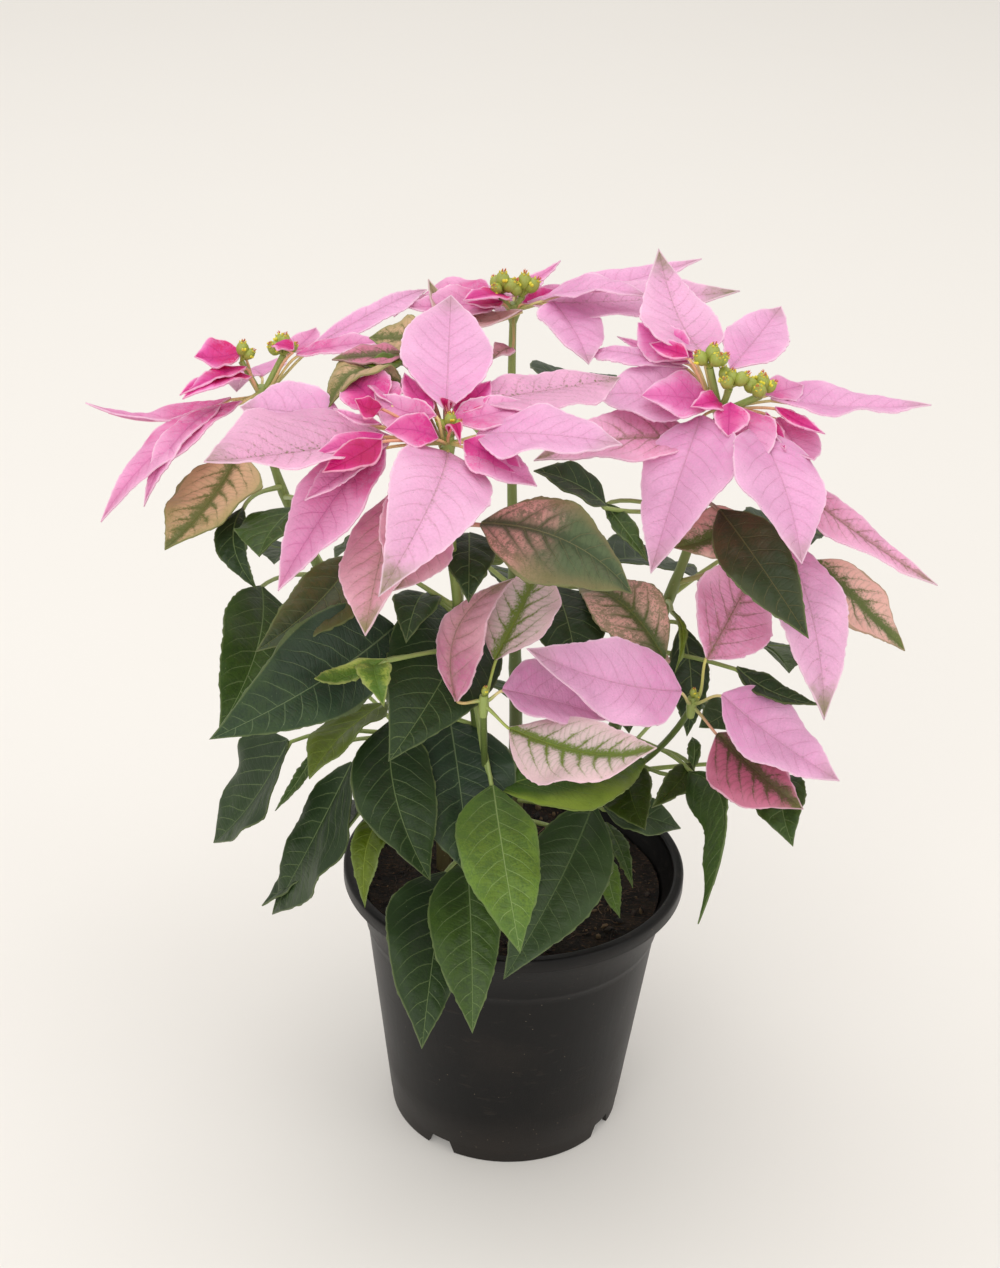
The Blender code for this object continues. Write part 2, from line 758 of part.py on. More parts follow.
def build_bloom(name, centre, material):
    """A bloom in one solid: its collar, the bracts round it and the cyathia over it."""
    node = "bloom_" + name
    centre = Vector(centre)
    rise = Vector((0, 0, COLLAR_HEIGHT / 2))
    collar = tube(node, [centre - rise, centre + rise], [COLLAR_RADIUS] * 2, STEM_SIDES)
    pieces = build_head(node, centre, HEADS[name])
    for number, blade in enumerate(BRACTS[name]):
        outwards = Vector(blade.foot) - centre
        lift = min(max(outwards.z, 0), COLLAR_HEIGHT / 4)
        outwards.z = 0
        start = centre + outwards.normalized() * (COLLAR_RADIUS / 2) + Vector((0, 0, lift))
        pieces.append(build_blade(f"{node}.bract.{number}", blade, start))
    fuse(collar, pieces, material)


def finish_frame():
    """Moves the origin under the middle of the plant, and turns millimetres into metres."""
    shift = Vector(POT_PLACE)
    for built in bpy.data.objects:
        for vertex in built.data.vertices:
            vertex.co = (vertex.co + shift) * METRES_PER_MM


def main():
    clear_scene()
    plastic = make_material("black_plastic", (0.018, 0.016, 0.015), 0.45)
    peat = make_material("peat", (0.03, 0.02, 0.014), 0.95)
    green = make_material("leaf_green", (0.06, 0.13, 0.04), 0.5)
    pink = make_material("bract_pink", (0.75, 0.2, 0.42), 0.55)
    build_pot(plastic)
    build_soil(peat)
    for name in STEMS:
        build_leafy_stem(name, green)
    for name, carrier in (STEMS | SHOOTS).items():
        build_bloom(name, carrier.bloom, pink)
    finish_frame()


main()
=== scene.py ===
"""The looks of a pink poinsettia in its black nursery pot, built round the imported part.

Lengths are in millimetres from the middle of the pot's foot, as in the part's source, and keep_piece
puts each finished mesh into the frame's metres. Every leaf and bract starts as one point that carries
its size, bends and colours, and one Geometry Nodes tree grows the blades from those points.
"""

import random
from math import cos, pi, radians, sin, tan
from typing import NamedTuple

import bmesh
import bpy
from mathutils import Euler, Matrix, Quaternion, Vector, noise


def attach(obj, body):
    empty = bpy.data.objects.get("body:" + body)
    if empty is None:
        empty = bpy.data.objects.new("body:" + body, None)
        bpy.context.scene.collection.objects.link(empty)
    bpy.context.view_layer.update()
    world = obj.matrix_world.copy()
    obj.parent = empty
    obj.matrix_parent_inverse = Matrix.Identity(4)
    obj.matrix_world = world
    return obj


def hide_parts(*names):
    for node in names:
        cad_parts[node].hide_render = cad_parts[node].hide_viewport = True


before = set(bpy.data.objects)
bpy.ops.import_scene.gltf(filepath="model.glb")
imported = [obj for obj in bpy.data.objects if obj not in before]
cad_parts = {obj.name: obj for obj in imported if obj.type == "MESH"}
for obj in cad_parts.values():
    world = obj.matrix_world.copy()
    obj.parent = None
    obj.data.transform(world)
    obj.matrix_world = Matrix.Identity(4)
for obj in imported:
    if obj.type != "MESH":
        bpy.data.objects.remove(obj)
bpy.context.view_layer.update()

METRES_PER_MM = 0.001
POT_PLACE = (9.0, -15.0, 0.0)
SHARP_ANGLE = 50.0

# Pot: a standard 13 cm nursery pot
RIM_RADIUS = 65.0
RIM_WIDTH = 4.0
RIM_HEIGHT = 5.5
RIM_ROUNDING = 1.2
SHOULDER_DEPTH = 4.4
POT_HEIGHT = 110.8
BASE_RADIUS = 45.2
BODY_TOP_RADIUS = 58.9
WALL = 1.2
STEP_HEIGHT = 86.0
STEP_DEPTH = 0.6
STEP_SLOPE = 1.0
WALL_RINGS = (0.2, 0.4, 0.6, 0.8, 0.97)
FOOT_RING_HEIGHT = 6.5
FOOT_RING_WIDTH = 1.8
FOOT_RING_SLOPE = 0.5
FLOOR = 1.4
POT_SIDES = 160
NOTCH_AZIMUTHS = (57.5, 147.5, 237.5, 327.5)
NOTCH_BOTTOM_WIDTH = 13.0
NOTCH_TOP_WIDTH = 8.5
NOTCH_HEIGHT = 5.6
NOTCH_REACH = 6.0
CUT_PAST = 1.0
DRAIN_RADIUS = 4.5
DRAIN_CIRCLE = 34.0
DRAIN_SIDES = 24

# The dusty foot of the pot's wall, in metres, as the materials measure
DUSTY_FOOT = 0.03

# Soil
SOIL_LEVEL = 101.0
SOIL_GAP = 0.3
SOIL_RINGS = 40
SOIL_SECTORS = 120
SOIL_BUMP = 1.6
SOIL_LUMPS = ((14.0, 1.0), (3.0, 0.5), (1.0, 0.2))
SOIL_SEED = 5
CRUMBS = 520
CRUMB_MARGIN = 3.0
CRUMB_SIZE = 0.4
CRUMB_RANGE = 1.5
CRUMB_LUMPS = 1.7
CRUMB_ROUGHNESS = 0.5
FIBRES = 90
FIBRE_MARGIN = 8.0
FIBRE_RADII = (0.08, 0.2)
FIBRE_STEPS = 6
FIBRE_STEP = 1.2
FIBRE_TURN = 0.6
FIBRE_LIFT = 0.25
FIBRE_ARCH = 0.8

# Stems and stalks
STEM_FOOT_RADIUS = 3.0
STEM_TIP_RADIUS = 1.3
STEM_STATIONS = 44
STEM_ROOT = 8.0
STRAIGHT_ABOVE_SOIL = 5.0
SHOOT_RADIUS = 1.15
SHOOT_STATIONS = 16
SHOOT_LIFT = 6.0
STALK_STATIONS = 9
STALK_SLOPE = 0.35
STALK_UPTURN = 0.35
STALK_HANDLE = 0.33
STALK_ROOT = 1.25
STALK_THINNING = 0.4
STALK_SINK = 0.8
LOWEST_STALK = SOIL_LEVEL + 12.0
PLANT_HEIGHT = POT_HEIGHT + SOIL_LEVEL
WOOD_FADE = 3.0
YOUNG_FROM = 0.45
YOUNG_FADE = 2.0
LEAF_STALK_RADIUS = 0.9
BRACT_STALK_RADIUS = 0.6
RIB_STATIONS = 9
RIB_SHARE = 0.8
RIB_SINK = 0.7
RIB_REACH = 0.85
RIB_TIP_RADIUS = 0.15
JOINT_SWELLING = 0.28
JOINT_SPREAD = 3.5
COLLAR_HEIGHT = 8.0
COLLAR_RADIUS = 2.6
COLLAR_LEAST = 0.4
COLLAR_TOP = 0.8
BRANCH_STEPS = 5
TUBE_SIDES = 10

# Blades: leaves and bracts alike
LARGE_BLADE = 30.0
LARGE_GRID = (58, 21)
SMALL_GRID = (30, 13)
BLADE_THICKNESS = 0.5
WELD = 0.02
FOLD = 10.0
WAVE = 0.1
RIPPLES = 13.0
RIPPLE_SHIFT = 2.2
CORNER_SHARPNESS = 9.0
EDGE_OFFSET = 40.0
PHASE_STEP = 9.0
CRUMPLE_STEP = 30.0
STIFF_BAND = 5.0
VEIN_SPACING = 6.0
VEIN_SLOPE = 0.62
VEIN_CURVE = 0.4
CRUMPLE = 1.1
LEAF_SEED = 20
BRACT_SEED = 40

# Unevenness in two layers: how many teeth or dents a millimetre, and how far they reach
TEETH = ((0.42, 1.6), (1.1, 1.0))
CRUMPLES = ((0.06, 3.0), (0.22, 1.0))

# Lines drawn on a blade, in millimetres from their middle, and where its green tip starts
MIDRIB_CORE = 0.16
MIDRIB_RIM = 0.46
LATERAL_CORE = 0.04
LATERAL_RIM = 0.26
LATERAL_SHARE = 0.55
TIP_START = 0.76

# Patterns in the materials, by how many a metre
BROAD_CLOUDS = 70.0
UNEVEN_CLOUDS = 260.0
FINE_CLOUDS = 1400.0
FLECK_CLOUDS = 900.0
SPECK_CELLS = 420.0
STALK_STREAKS = 900.0
STALK_CLOUDS = 160.0
STALK_DOTS = 500.0
PLASTIC_STREAKS = 420.0
PLASTIC_CLOUDS = 28.0
PLASTIC_GRAIN = 2200.0
SCUFFS = 130.0
SPLASHES = 260.0
PEAT_LUMPS = 160.0
PEAT_SHREDS = 520.0
PEAT_GRAINS = 520.0
FLOOR_CLOUDS = 6.0

# How much closer a pattern stands along x, y and z, where it is drawn out
ALONG_STALK = (1.0, 1.0, 0.12)
DOWN_WALL = (1.0, 1.0, 0.05)
ROUND_WALL = (1.0, 1.0, 3.0)
ALONG_SHREDS = (1.0, 3.5, 1.0)

# Fine relief: its strength, and its depth in metres
BLADE_BUMP = (0.6, 0.0004)
STALK_BUMP = (0.35, 0.0003)
PLASTIC_BUMP = (0.25, 0.0003)
PEAT_BUMP = (0.9, 0.0014)

# Roughness
UNDER_GLOSS = 0.6
STALK_GLOSS = 0.45
CUP_GLOSS = 0.4
GRIT_GLOSS = 0.85

# Cyathia, the true flowers
BRANCH_RADIUS = 1.25
BUD_ROOT = 0.4
BUD_STALK = 2.4
BUD_STALK_RADII = (0.55, 0.6, 0.85)
BUD_STALK_SIDES = 10
BUD_LENGTH = 5.2
BUD_RADIUS = 2.35
CUP_SIDES = 15
CUP_RIBS = 5
CUP_RIB_DEPTH = 0.05
LIP_SPACING = 0.42
LIP_PLACE = 0.62
LIP_SIZE = (0.55, 0.62, 0.85)
LOBE_SIZE = (0.28, 0.5, 0.5)
STAMENS = 6
STAMEN_SIZE = (0.16, 0.16, 0.6)
BUD_LEAN = 48.0
BUD_LEANS = (0.8, 1.1)
MIDDLE_LEAN = 0.1
BUD_TURN = 0.3
BUD_SIZES = (0.85, 1.1)
HEAD_SEED = 11
BUD_SEED = 3

# The cup's outline: place from its foot to its mouth, and part of its radius
CUP_OUTLINE = ((0.0, 0.4), (0.12, 0.72), (0.35, 0.98), (0.6, 1.0), (0.82, 0.8), (0.95, 0.55), (1.0, 0.3))

# The photograph's camera
CAMERA_PLACE = (-8.5, -692.3, 575.2)
CAMERA_PITCH = 27.93
CAMERA_ROLL = 2.12
CAMERA_LENS = 61.5
CAMERA_SENSOR = 36.0


def tone(red, green, blue):
    """A colour for the nodes, from its red, green and blue parts on a screen."""
    parts = []
    for part in (red, green, blue):
        share = part / 255
        parts.append(share / 12.92 if share <= 0.04045 else ((share + 0.055) / 1.055) ** 2.4)
    return (*parts, 1.0)


WOODY_STEM = tone(84, 74, 46)
GREEN_STEM = tone(84, 100, 46)
YOUNG_STEM = tone(142, 158, 84)
CUP_TONE = tone(148, 158, 68)
GLAND_TONE = tone(222, 210, 64)
LOBE_TONE = tone(212, 196, 70)
STAMEN_TONE = tone(198, 110, 80)
STALK_DOT_TONE = tone(176, 176, 130)
FLECK_TONE = tone(122, 122, 66)
TIP_TONE = tone(132, 136, 70)
PLASTIC_TONES = (tone(11, 10, 10), tone(19, 18, 17))
DUST_TONE = tone(84, 72, 62)
SPLASH_TONE = tone(150, 136, 116)
PEAT_TONES = (tone(17, 14, 11), tone(40, 32, 24))
SHRED_TONE = tone(94, 70, 48)
GRAIN_TONE = tone(128, 104, 76)
CRUMB_TONES = (tone(22, 18, 14), tone(30, 24, 18), tone(44, 34, 25), tone(92, 74, 50), tone(26, 21, 17))
FIBRE_TONES = (tone(78, 58, 40), tone(58, 44, 32), tone(100, 80, 58), tone(46, 35, 27))
FLOOR_TONE = tone(211, 208, 203)
FLOOR_SHADE = tone(208, 204, 198)
FLOOR_SIZE = 9.0
FLOOR_GLOW = 0.2
SKY_TONE = tone(255, 252, 248)
SKY_STRENGTH = 0.78
LIGHTS = (
    ("overhead", (-0.3, 0.3, 2.6), 3.0, 36.0),
    ("front", (-0.6, -2.0, 1.2), 1.8, 20.0),
    ("side", (1.8, -0.9, 0.9), 1.2, 6.0),
)
LIGHT_AIM = (0.0, 0.0, 0.2)


class Look(NamedTuple):
    """The colours of a blade: its body and edge, its vein lines, what stains it along the veins, and a patch.

    They are red, green and blue parts on a screen. Stain is how far the stain reaches from a vein in
    millimetres, and how strong it is. Patch is how strong the patch is, where its middle lies along the
    blade, and how far it spreads.
    """

    body: tuple
    rim_tone: tuple
    vein_tone: tuple
    stain_tone: tuple
    patch_tone: tuple
    edge_share: float = 0.5
    stain: tuple = (1.0, 0.0)
    line: float = 0.65
    speckle: float = 0.0
    tip: float = 0.0
    patch: tuple = (0.0, 0.2, 0.5)
    petiole: tuple = (140, 158, 88)
    quilting: float = 0.35


class Skin(NamedTuple):
    """How one kind of blade takes light: roughness, light let through, shine, and pale and speck tones."""

    gloss: float
    glow: float
    shine: float
    rim: tuple
    under: tuple
    specks: tuple


LEAF_SKIN = Skin(0.42, 0.22, 0.3, tone(120, 134, 84), tone(140, 160, 128), tone(150, 160, 120))
BRACT_SKIN = Skin(0.5, 0.36, 0.4, tone(250, 228, 238), tone(238, 206, 222), tone(96, 60, 70))


class Blade(NamedTuple):
    """A leaf or bract: its foot, the way its chord points in degrees, its size and its look.

    The arch is how far the middle of the midrib stands above the chord, the roll turns the blade about
    its chord, and the joint is the height where its stalk leaves the stem, worked out if left out. The
    bow carries the midrib sideways, and corners are the places of an angular corner on the left and
    right edge and their size in millimetres. Roundness runs from egg shaped to elliptic, and the skew
    widens the left half and narrows the right one.
    """

    foot: tuple
    heading: float
    rise: float
    length: float
    width: float
    look: str
    arch: float = 5.0
    roll: float = 0.0
    joint: float = 0.0
    bow: float = 0.0
    corners: tuple = (0.35, 0.42, 0.0)
    roundness: float = 0.45
    skew: float = 0.0


class Stem(NamedTuple):
    """A rooted stem: its place in the soil, and the middle of its bloom's collar."""

    foot: tuple
    bloom: tuple


class Shoot(NamedTuple):
    """A side shoot: the stem that it grows from, the height it leaves it at, and its bloom's collar."""

    stem: str
    joint: float
    bloom: tuple


LEAF_VEIN = (132, 152, 98)
LOOKS = {
    "dark": Look((42, 60, 34), (50, 70, 36), LEAF_VEIN, (56, 78, 40), (60, 82, 38),
                 stain=(0.9, 0.35), patch=(0.35, 0.8, 0.5)),
    "bluish": Look((46, 64, 46), (54, 76, 48), (132, 152, 108), (64, 88, 56),
                   (70, 92, 46), stain=(0.9, 0.3), patch=(0.4, 0.9, 0.4)),
    "mid": Look((50, 70, 32), (62, 86, 38), LEAF_VEIN, (74, 100, 44), (76, 102, 34),
                stain=(0.9, 0.4), patch=(0.4, 0.7, 0.6)),
    "bright": Look((78, 106, 50), (96, 130, 52), (166, 190, 120), (104, 136, 62),
                   (134, 164, 52), stain=(1.0, 0.4), patch=(0.4, 0.6, 0.5)),
    "mottled": Look((66, 96, 30), (150, 176, 66), (124, 150, 70), (56, 84, 30),
                    (128, 156, 54), stain=(1.2, 0.5), patch=(0.5, 0.75, 0.4), edge_share=0.9),
    "yellow": Look((168, 184, 80), (196, 204, 110), (104, 136, 50), (78, 114, 36),
                   (104, 140, 44), stain=(1.8, 0.85), patch=(0.6, 0.6, 0.5), edge_share=0.9),
    # Painted light: the next look is a yellow-green leaf colour made lighter as a painted backlit glow,
    # standing in for light let through the leaf
    "painted_backlit": Look((84, 100, 16), (104, 122, 26), (140, 156, 60), (110, 130, 36),
                (66, 84, 14), stain=(1.0, 0.4), patch=(0.6, 0.3, 0.4)),
    # Painted shade: the next look is the same yellow-green leaf colour darkened as painted shade
    "painted_shade": Look((44, 58, 12), (54, 70, 16), (84, 100, 40), (58, 76, 20),
                  (62, 80, 18), stain=(0.9, 0.35), patch=(0.4, 0.7, 0.6)),
    "olive": Look((70, 84, 50), (92, 98, 52), (116, 126, 74), (52, 68, 42),
                  (96, 82, 46), stain=(1.2, 0.5), patch=(0.6, 0.3, 0.6), edge_share=0.8),
    "blush": Look((96, 112, 76), (136, 126, 84), (140, 138, 92), (70, 86, 56),
                  (232, 178, 166), stain=(1.3, 0.9), patch=(0.95, 0.0, 0.5), edge_share=0.85,
                  petiole=(190, 140, 120)),
    "veined": Look((214, 176, 140), (170, 160, 100), (104, 112, 52), (92, 104, 44),
                   (150, 136, 84), stain=(1.5, 0.9), line=0.6, patch=(0.7, 0.9, 0.5),
                   edge_share=0.5, petiole=(190, 140, 120)),
    "patchy": Look((100, 116, 72), (132, 134, 88), (112, 124, 60), (78, 98, 46),
                   (236, 188, 174), stain=(1.3, 0.95), line=0.6, speckle=0.3, tip=0.4,
                   patch=(0.95, 0.42, 0.5), edge_share=0.9, petiole=(180, 140, 120)),
    "rosy": Look((242, 196, 182), (230, 176, 160), (104, 122, 58), (88, 110, 44),
                 (240, 196, 186), stain=(2.0, 0.95), line=0.6, patch=(0.6, 0.5, 0.5),
                 edge_share=0.5, tip=0.5, petiole=(200, 140, 130)),
    "bronze": Look((52, 64, 36), (70, 76, 42), (112, 106, 66), (54, 64, 34),
                   (96, 70, 46), stain=(1.1, 0.5), patch=(0.6, 0.12, 0.4), edge_share=0.8,
                   petiole=(150, 110, 86)),
    "grey": Look((56, 74, 44), (66, 88, 50), (120, 140, 92), (72, 94, 56),
                 (66, 88, 44), stain=(0.8, 0.3), patch=(0.3, 0.5, 0.5)),
    "pale": Look((240, 186, 222), (243, 200, 228), (216, 158, 178), (234, 168, 210),
                 (234, 150, 206), stain=(0.9, 0.3), line=0.3, speckle=0.1, tip=0.4,
                 patch=(0.5, 0.0, 0.5), quilting=0.22, petiole=(206, 190, 130)),
    "greentip": Look((240, 190, 222), (242, 202, 226), (206, 164, 168), (234, 172, 210),
                     (234, 150, 204), stain=(0.9, 0.3), line=0.35, speckle=0.22, tip=1.0,
                     patch=(0.4, 0.0, 0.45), quilting=0.22, petiole=(206, 190, 130)),
    "speckled": Look((236, 184, 214), (240, 194, 220), (190, 150, 140), (226, 164, 198),
                     (230, 150, 200), stain=(0.9, 0.3), line=0.4, speckle=0.7, tip=0.6,
                     patch=(0.4, 0.0, 0.5), quilting=0.25, petiole=(206, 190, 130)),
    "pink": Look((238, 168, 210), (246, 198, 228), (220, 112, 176), (226, 122, 184),
                 (230, 90, 166), stain=(0.9, 0.35), line=0.35, speckle=0.04, tip=0.2,
                 patch=(0.85, 0.02, 0.55), quilting=0.2, petiole=(216, 190, 130)),
    "centred": Look((238, 140, 202), (246, 192, 228), (228, 90, 172), (230, 104, 180),
                    (232, 92, 176), stain=(1.2, 0.4), line=0.45, patch=(0.7, 0.1, 0.7),
                    edge_share=1.0, quilting=0.18, petiole=(216, 190, 130)),
    "tan": Look((214, 176, 168), (232, 206, 200), (190, 150, 130), (196, 160, 140),
                (214, 150, 170), stain=(1.0, 0.4), line=0.5, speckle=0.2, tip=1.0,
                patch=(0.4, 0.1, 0.5), quilting=0.3, petiole=(206, 190, 130)),
    "hot": Look((230, 78, 168), (244, 158, 214), (208, 36, 132), (214, 42, 138),
                (218, 20, 116), stain=(1.0, 0.45), line=0.45, patch=(0.95, 0.15, 0.6),
                edge_share=1.0, quilting=0.15, petiole=(222, 170, 130)),
    "rose": Look((232, 108, 176), (244, 172, 216), (212, 56, 148), (220, 66, 158),
                 (226, 50, 150), stain=(1.0, 0.4), line=0.4, patch=(0.9, 0.08, 0.6),
                 edge_share=1.0, quilting=0.18, petiole=(220, 184, 130)),
    "crimson": Look((210, 12, 124), (230, 80, 160), (184, 14, 88), (194, 16, 98),
                    (194, 14, 92), stain=(1.0, 0.4), patch=(0.8, 0.2, 0.6), edge_share=0.7,
                    quilting=0.1, petiole=(214, 150, 120)),
    "dusky": Look((208, 122, 148), (226, 150, 178), (92, 92, 46), (84, 86, 42),
                  (196, 100, 130), stain=(1.4, 0.9), line=0.6, speckle=0.4, tip=0.7,
                  patch=(0.4, 0.3, 0.5), quilting=0.3, petiole=(200, 150, 120)),
    "flushed": Look((248, 190, 222), (250, 208, 232), (150, 128, 78), (168, 120, 104),
                    (222, 124, 170), stain=(0.9, 0.5), line=0.45, speckle=0.5, tip=0.6,
                    patch=(0.5, 0.1, 0.5), quilting=0.3, petiole=(186, 180, 100)),
    "whitepink": Look((240, 220, 220), (236, 204, 210), (138, 158, 60), (116, 142, 42),
                      (120, 150, 50), stain=(1.35, 0.95), line=0.8, speckle=0.2, tip=0.5,
                      patch=(0.0, 0.5, 0.5), quilting=0.3, petiole=(160, 176, 84)),
    "salmon": Look((232, 176, 192), (240, 196, 208), (150, 134, 84), (196, 148, 138),
                   (222, 120, 176), stain=(1.0, 0.4), line=0.4, speckle=0.25, tip=1.0,
                   patch=(0.6, 0.05, 0.5), quilting=0.5, petiole=(186, 160, 104)),
}

STEMS = {
    "front": Stem((-7, -22), (-27, -60, 306)),
    "right": Stem((24, -2), (64, 0, 297)),
    "back": Stem((0, 26), (-8, 62, 308)),
    "left": Stem((-27, 8), (-97, 32, 284)),
}

SHOOTS = {
    "low_front": Shoot("front", 165, (-13, -75, 221)),
    "low_right": Shoot("right", 150, (58, -46, 207)),
}

# In LEAVES and BRACTS, a row with a roundness was fitted by a program to points read off the photograph
LEAVES = {
    "front": (
        Blade((-16, -62, 281), 353, -22, 54, 36, "blush", arch=9, roll=26, bow=1, corners=(0.25, 0.3, 1.2),
              roundness=0.5, skew=-0.25),
        Blade((-58, -40, 257), 232, -20, 51, 23, "olive", arch=3, roll=-22, bow=4, roundness=0.5,
              skew=0.15),
        Blade((-44, -50, 236), 225, -10, 79, 34, "bluish", roll=-58, bow=2, corners=(0.4, 0.5, 1.5),
              roundness=0.3, skew=-0.2),
        Blade((-45, -80, 240), 218, 3, 27, 8, "yellow", arch=-7, roll=-17, bow=-3, roundness=0.6,
              skew=-0.3),
        Blade((-49, -74, 235), 284, -20, 19, 12, "yellow", arch=6, bow=-2, roundness=0.5, skew=-0.05),
        Blade((-19, -22, 231), 250, -19, 75, 40, "dark", arch=8, roll=-25, bow=3, roundness=0.6,
              skew=-0.15),
        Blade((-47, -40, 201), 235, -15, 43, 27, "painted_backlit", arch=2, roll=22, bow=-2, roundness=0.5),
        Blade((-59, -40, 176), 201, -63, 66, 40, "dark", arch=2, roll=-4, bow=4, roundness=0.5, skew=0.35),
        Blade((-45, -44, 196), 292, -42, 58, 32, "dark", arch=4, roll=-7, bow=-7, roundness=0.5,
              skew=-0.05),
        Blade((-25, -36, 193), 283, -44, 57, 40, "bluish", roll=4, roundness=0.5),
        Blade((-9, -60, 181), 282, -31, 62, 31, "bright", arch=4, roll=-11, joint=212, bow=-2,
              roundness=0.6, skew=-0.15),
        Blade((-7, -58, 179), 27, -3, 59, 37, "mottled", arch=8, roll=19, joint=208, bow=-3, roundness=0.5,
              skew=-0.15),
        Blade((-24, -62, 146), 264, -34, 64, 33, "dark", roll=-31, bow=-3, roundness=0.5, skew=-0.3),
        Blade((-17, -66, 154), 275, -37, 61, 26, "mid", arch=7, roll=-9, bow=-1, roundness=0.5, skew=-0.2),
        Blade((-46, -57, 166), 261, -31, 36, 12, "painted_backlit", arch=9, roll=1, bow=-2, roundness=0.4, skew=0.05),
        Blade((-20, -42, 268), 272, -24, 30, 18, "dark"),
        Blade((-34, -42, 245), 258, -14, 26, 16, "dark"),
        Blade((-43, -30, 314), 218, -3, 30, 23, "veined", arch=9, roll=13, bow=-1, roundness=0.8,
              skew=0.05),
        Blade((-43, -24, 323), 191, -2, 24, 14, "dusky", arch=1, roll=-11, bow=1, roundness=0.6, skew=0.05),
        Blade((-43, -27, 322), 201, 1, 15, 10, "painted_backlit", arch=1, roll=-11, bow=2, roundness=0.6, skew=0.05),
        Blade((-36, -15, 326), 170, -6, 20, 20, "veined", arch=-1, roll=-11, bow=-1, roundness=0.6,
              skew=-0.05),
        Blade((-20, -30, 251), 25, 8, 17, 13, "painted_backlit", arch=1, roll=5, bow=-1, roundness=0.5),
        Blade((39, -30, 174), 280, -15, 32, 20, "painted_shade", arch=1, roll=19, bow=-2, roundness=0.5,
              skew=-0.15),
    ),
    "left": (
        Blade((-103, 8, 271), 244, -21, 49, 35, "veined", arch=-3, roll=10, corners=(0.3, 0.35, 1.5),
              roundness=0.3, skew=0.1),
        Blade((-100, -5, 257), 289, -43, 31, 12, "dark", arch=6, roll=24, joint=250, bow=-4, roundness=0.4,
              skew=-0.15),
        Blade((-79, -15, 263), 249, -11, 31, 30, "mid", arch=2, roll=23, bow=-1, roundness=0.5, skew=-0.1),
        Blade((-92, -20, 234), 260, -29, 59, 32, "mid", arch=8, roll=-36, bow=2, roundness=0.6, skew=0.05),
        Blade((-83, -25, 175), 191, -56, 50, 45, "dark", arch=0, roll=-3, bow=6, roundness=0.4, skew=-0.15),
        Blade((-73, -30, 174), 239, -28, 27, 5, "mid", arch=2, roll=-5, bow=2, roundness=0.5),
        Blade((-55, -45, 162), 188, -49, 55, 35, "dark", arch=-3, roll=9, bow=-2, roundness=0.6,
              skew=-0.25),
        Blade((-80, 50, 215), 115, -30, 58, 34, "dark"),
        Blade((-70, 45, 165), 130, -35, 56, 32, "mid"),
    ),
    "right": (
        Blade((64, -25, 272), 302, -25, 58, 23, "bronze", roll=32, roundness=0.6),
        Blade((73, -15, 266), 216, -10, 30, 23, "rosy", arch=1, roll=-30, bow=3, roundness=0.5, skew=0.15),
        Blade((100, -10, 247), 338, -37, 45, 28, "rosy", arch=2, roll=9, bow=-2, corners=(0.4, 0.5, 1.2),
              roundness=0.5, skew=-0.05),
        Blade((48, -42, 223), 135, 15, 45, 26, "patchy", arch=9, roll=-18, bow=-1, roundness=0.5,
              skew=0.05),
        Blade((73, -40, 220), 328, -7, 32, 11, "dark", arch=-1, roll=9, bow=-3, roundness=0.5, skew=-0.05),
        Blade((56, -8, 219), 279, -59, 40, 15, "dark", roll=-4, bow=1, roundness=0.7, skew=-0.1),
        Blade((59, -48, 182), 271, -22, 62, 19, "mid", arch=-2, roll=71, joint=170, bow=20, roundness=0.1,
              skew=-0.55),
        Blade((95, -36, 175), 271, -24, 30, 20, "mid", arch=6, roll=17, bow=-2, roundness=0.5, skew=-0.1),
        Blade((31, -35, 158), 358, -14, 29, 22, "grey", arch=3, roll=13, bow=-2, roundness=0.5, skew=-0.1),
        Blade((27, -38, 162), 243, -28, 75, 30, "grey", arch=7, roll=-22, bow=2, roundness=0.7, skew=0.05),
        Blade((25, -38, 278), 179, 25, 27, 20, "dark", arch=3, roll=-9, bow=1, roundness=0.6, skew=0.05),
        Blade((10, -16, 236), 285, -30, 40, 28, "dark"),
        Blade((27, -14, 212), 290, -30, 36, 28, "dark"),
        Blade((85, 25, 240), 60, -25, 58, 32, "dark"),
        Blade((80, 25, 195), 55, -35, 58, 32, "mid"),
        Blade((60, 40, 160), 60, -35, 56, 30, "mid"),
        Blade((60, -40, 181), 234, -16, 25, 10, "painted_shade", arch=2, roll=-14, bow=2, roundness=0.6, skew=0.05),
        Blade((61, -40, 178), 89, 21, 15, 5, "mid", arch=3, roll=-8, bow=-1, roundness=0.5, skew=0.05),
        Blade((51, -25, 233), 271, -32, 25, 3, "painted_backlit", roll=-9, bow=2, roundness=0.6),
        Blade((74, -30, 199), 219, -13, 16, 16, "grey", arch=2, roll=-20, bow=2, roundness=0.5, skew=0.05),
        Blade((25, -30, 275), 309, -28, 26, 8, "mid", arch=2, roll=9, bow=-1, roundness=0.5, skew=0.05),
    ),
    "back": (
        Blade((33, -20, 142), 284, -6, 37, 7, "mid", arch=2, roll=-6, roundness=0.5),
        Blade((33, -25, 133), 278, -9, 35, 9, "bright", arch=0, roll=6, bow=-1, roundness=0.5, skew=-0.05),
        Blade((8, 92, 270), 70, -25, 62, 34, "dark"),
        Blade((-32, 90, 262), 120, -20, 64, 34, "bluish"),
        Blade((32, 70, 205), 40, -25, 60, 36, "dark"),
        Blade((-36, 66, 218), 140, -30, 62, 36, "mid"),
        Blade((0, 84, 190), 90, -35, 64, 36, "dark"),
        Blade((0, 58, 150), 95, -30, 60, 32, "mid"),
    ),
}

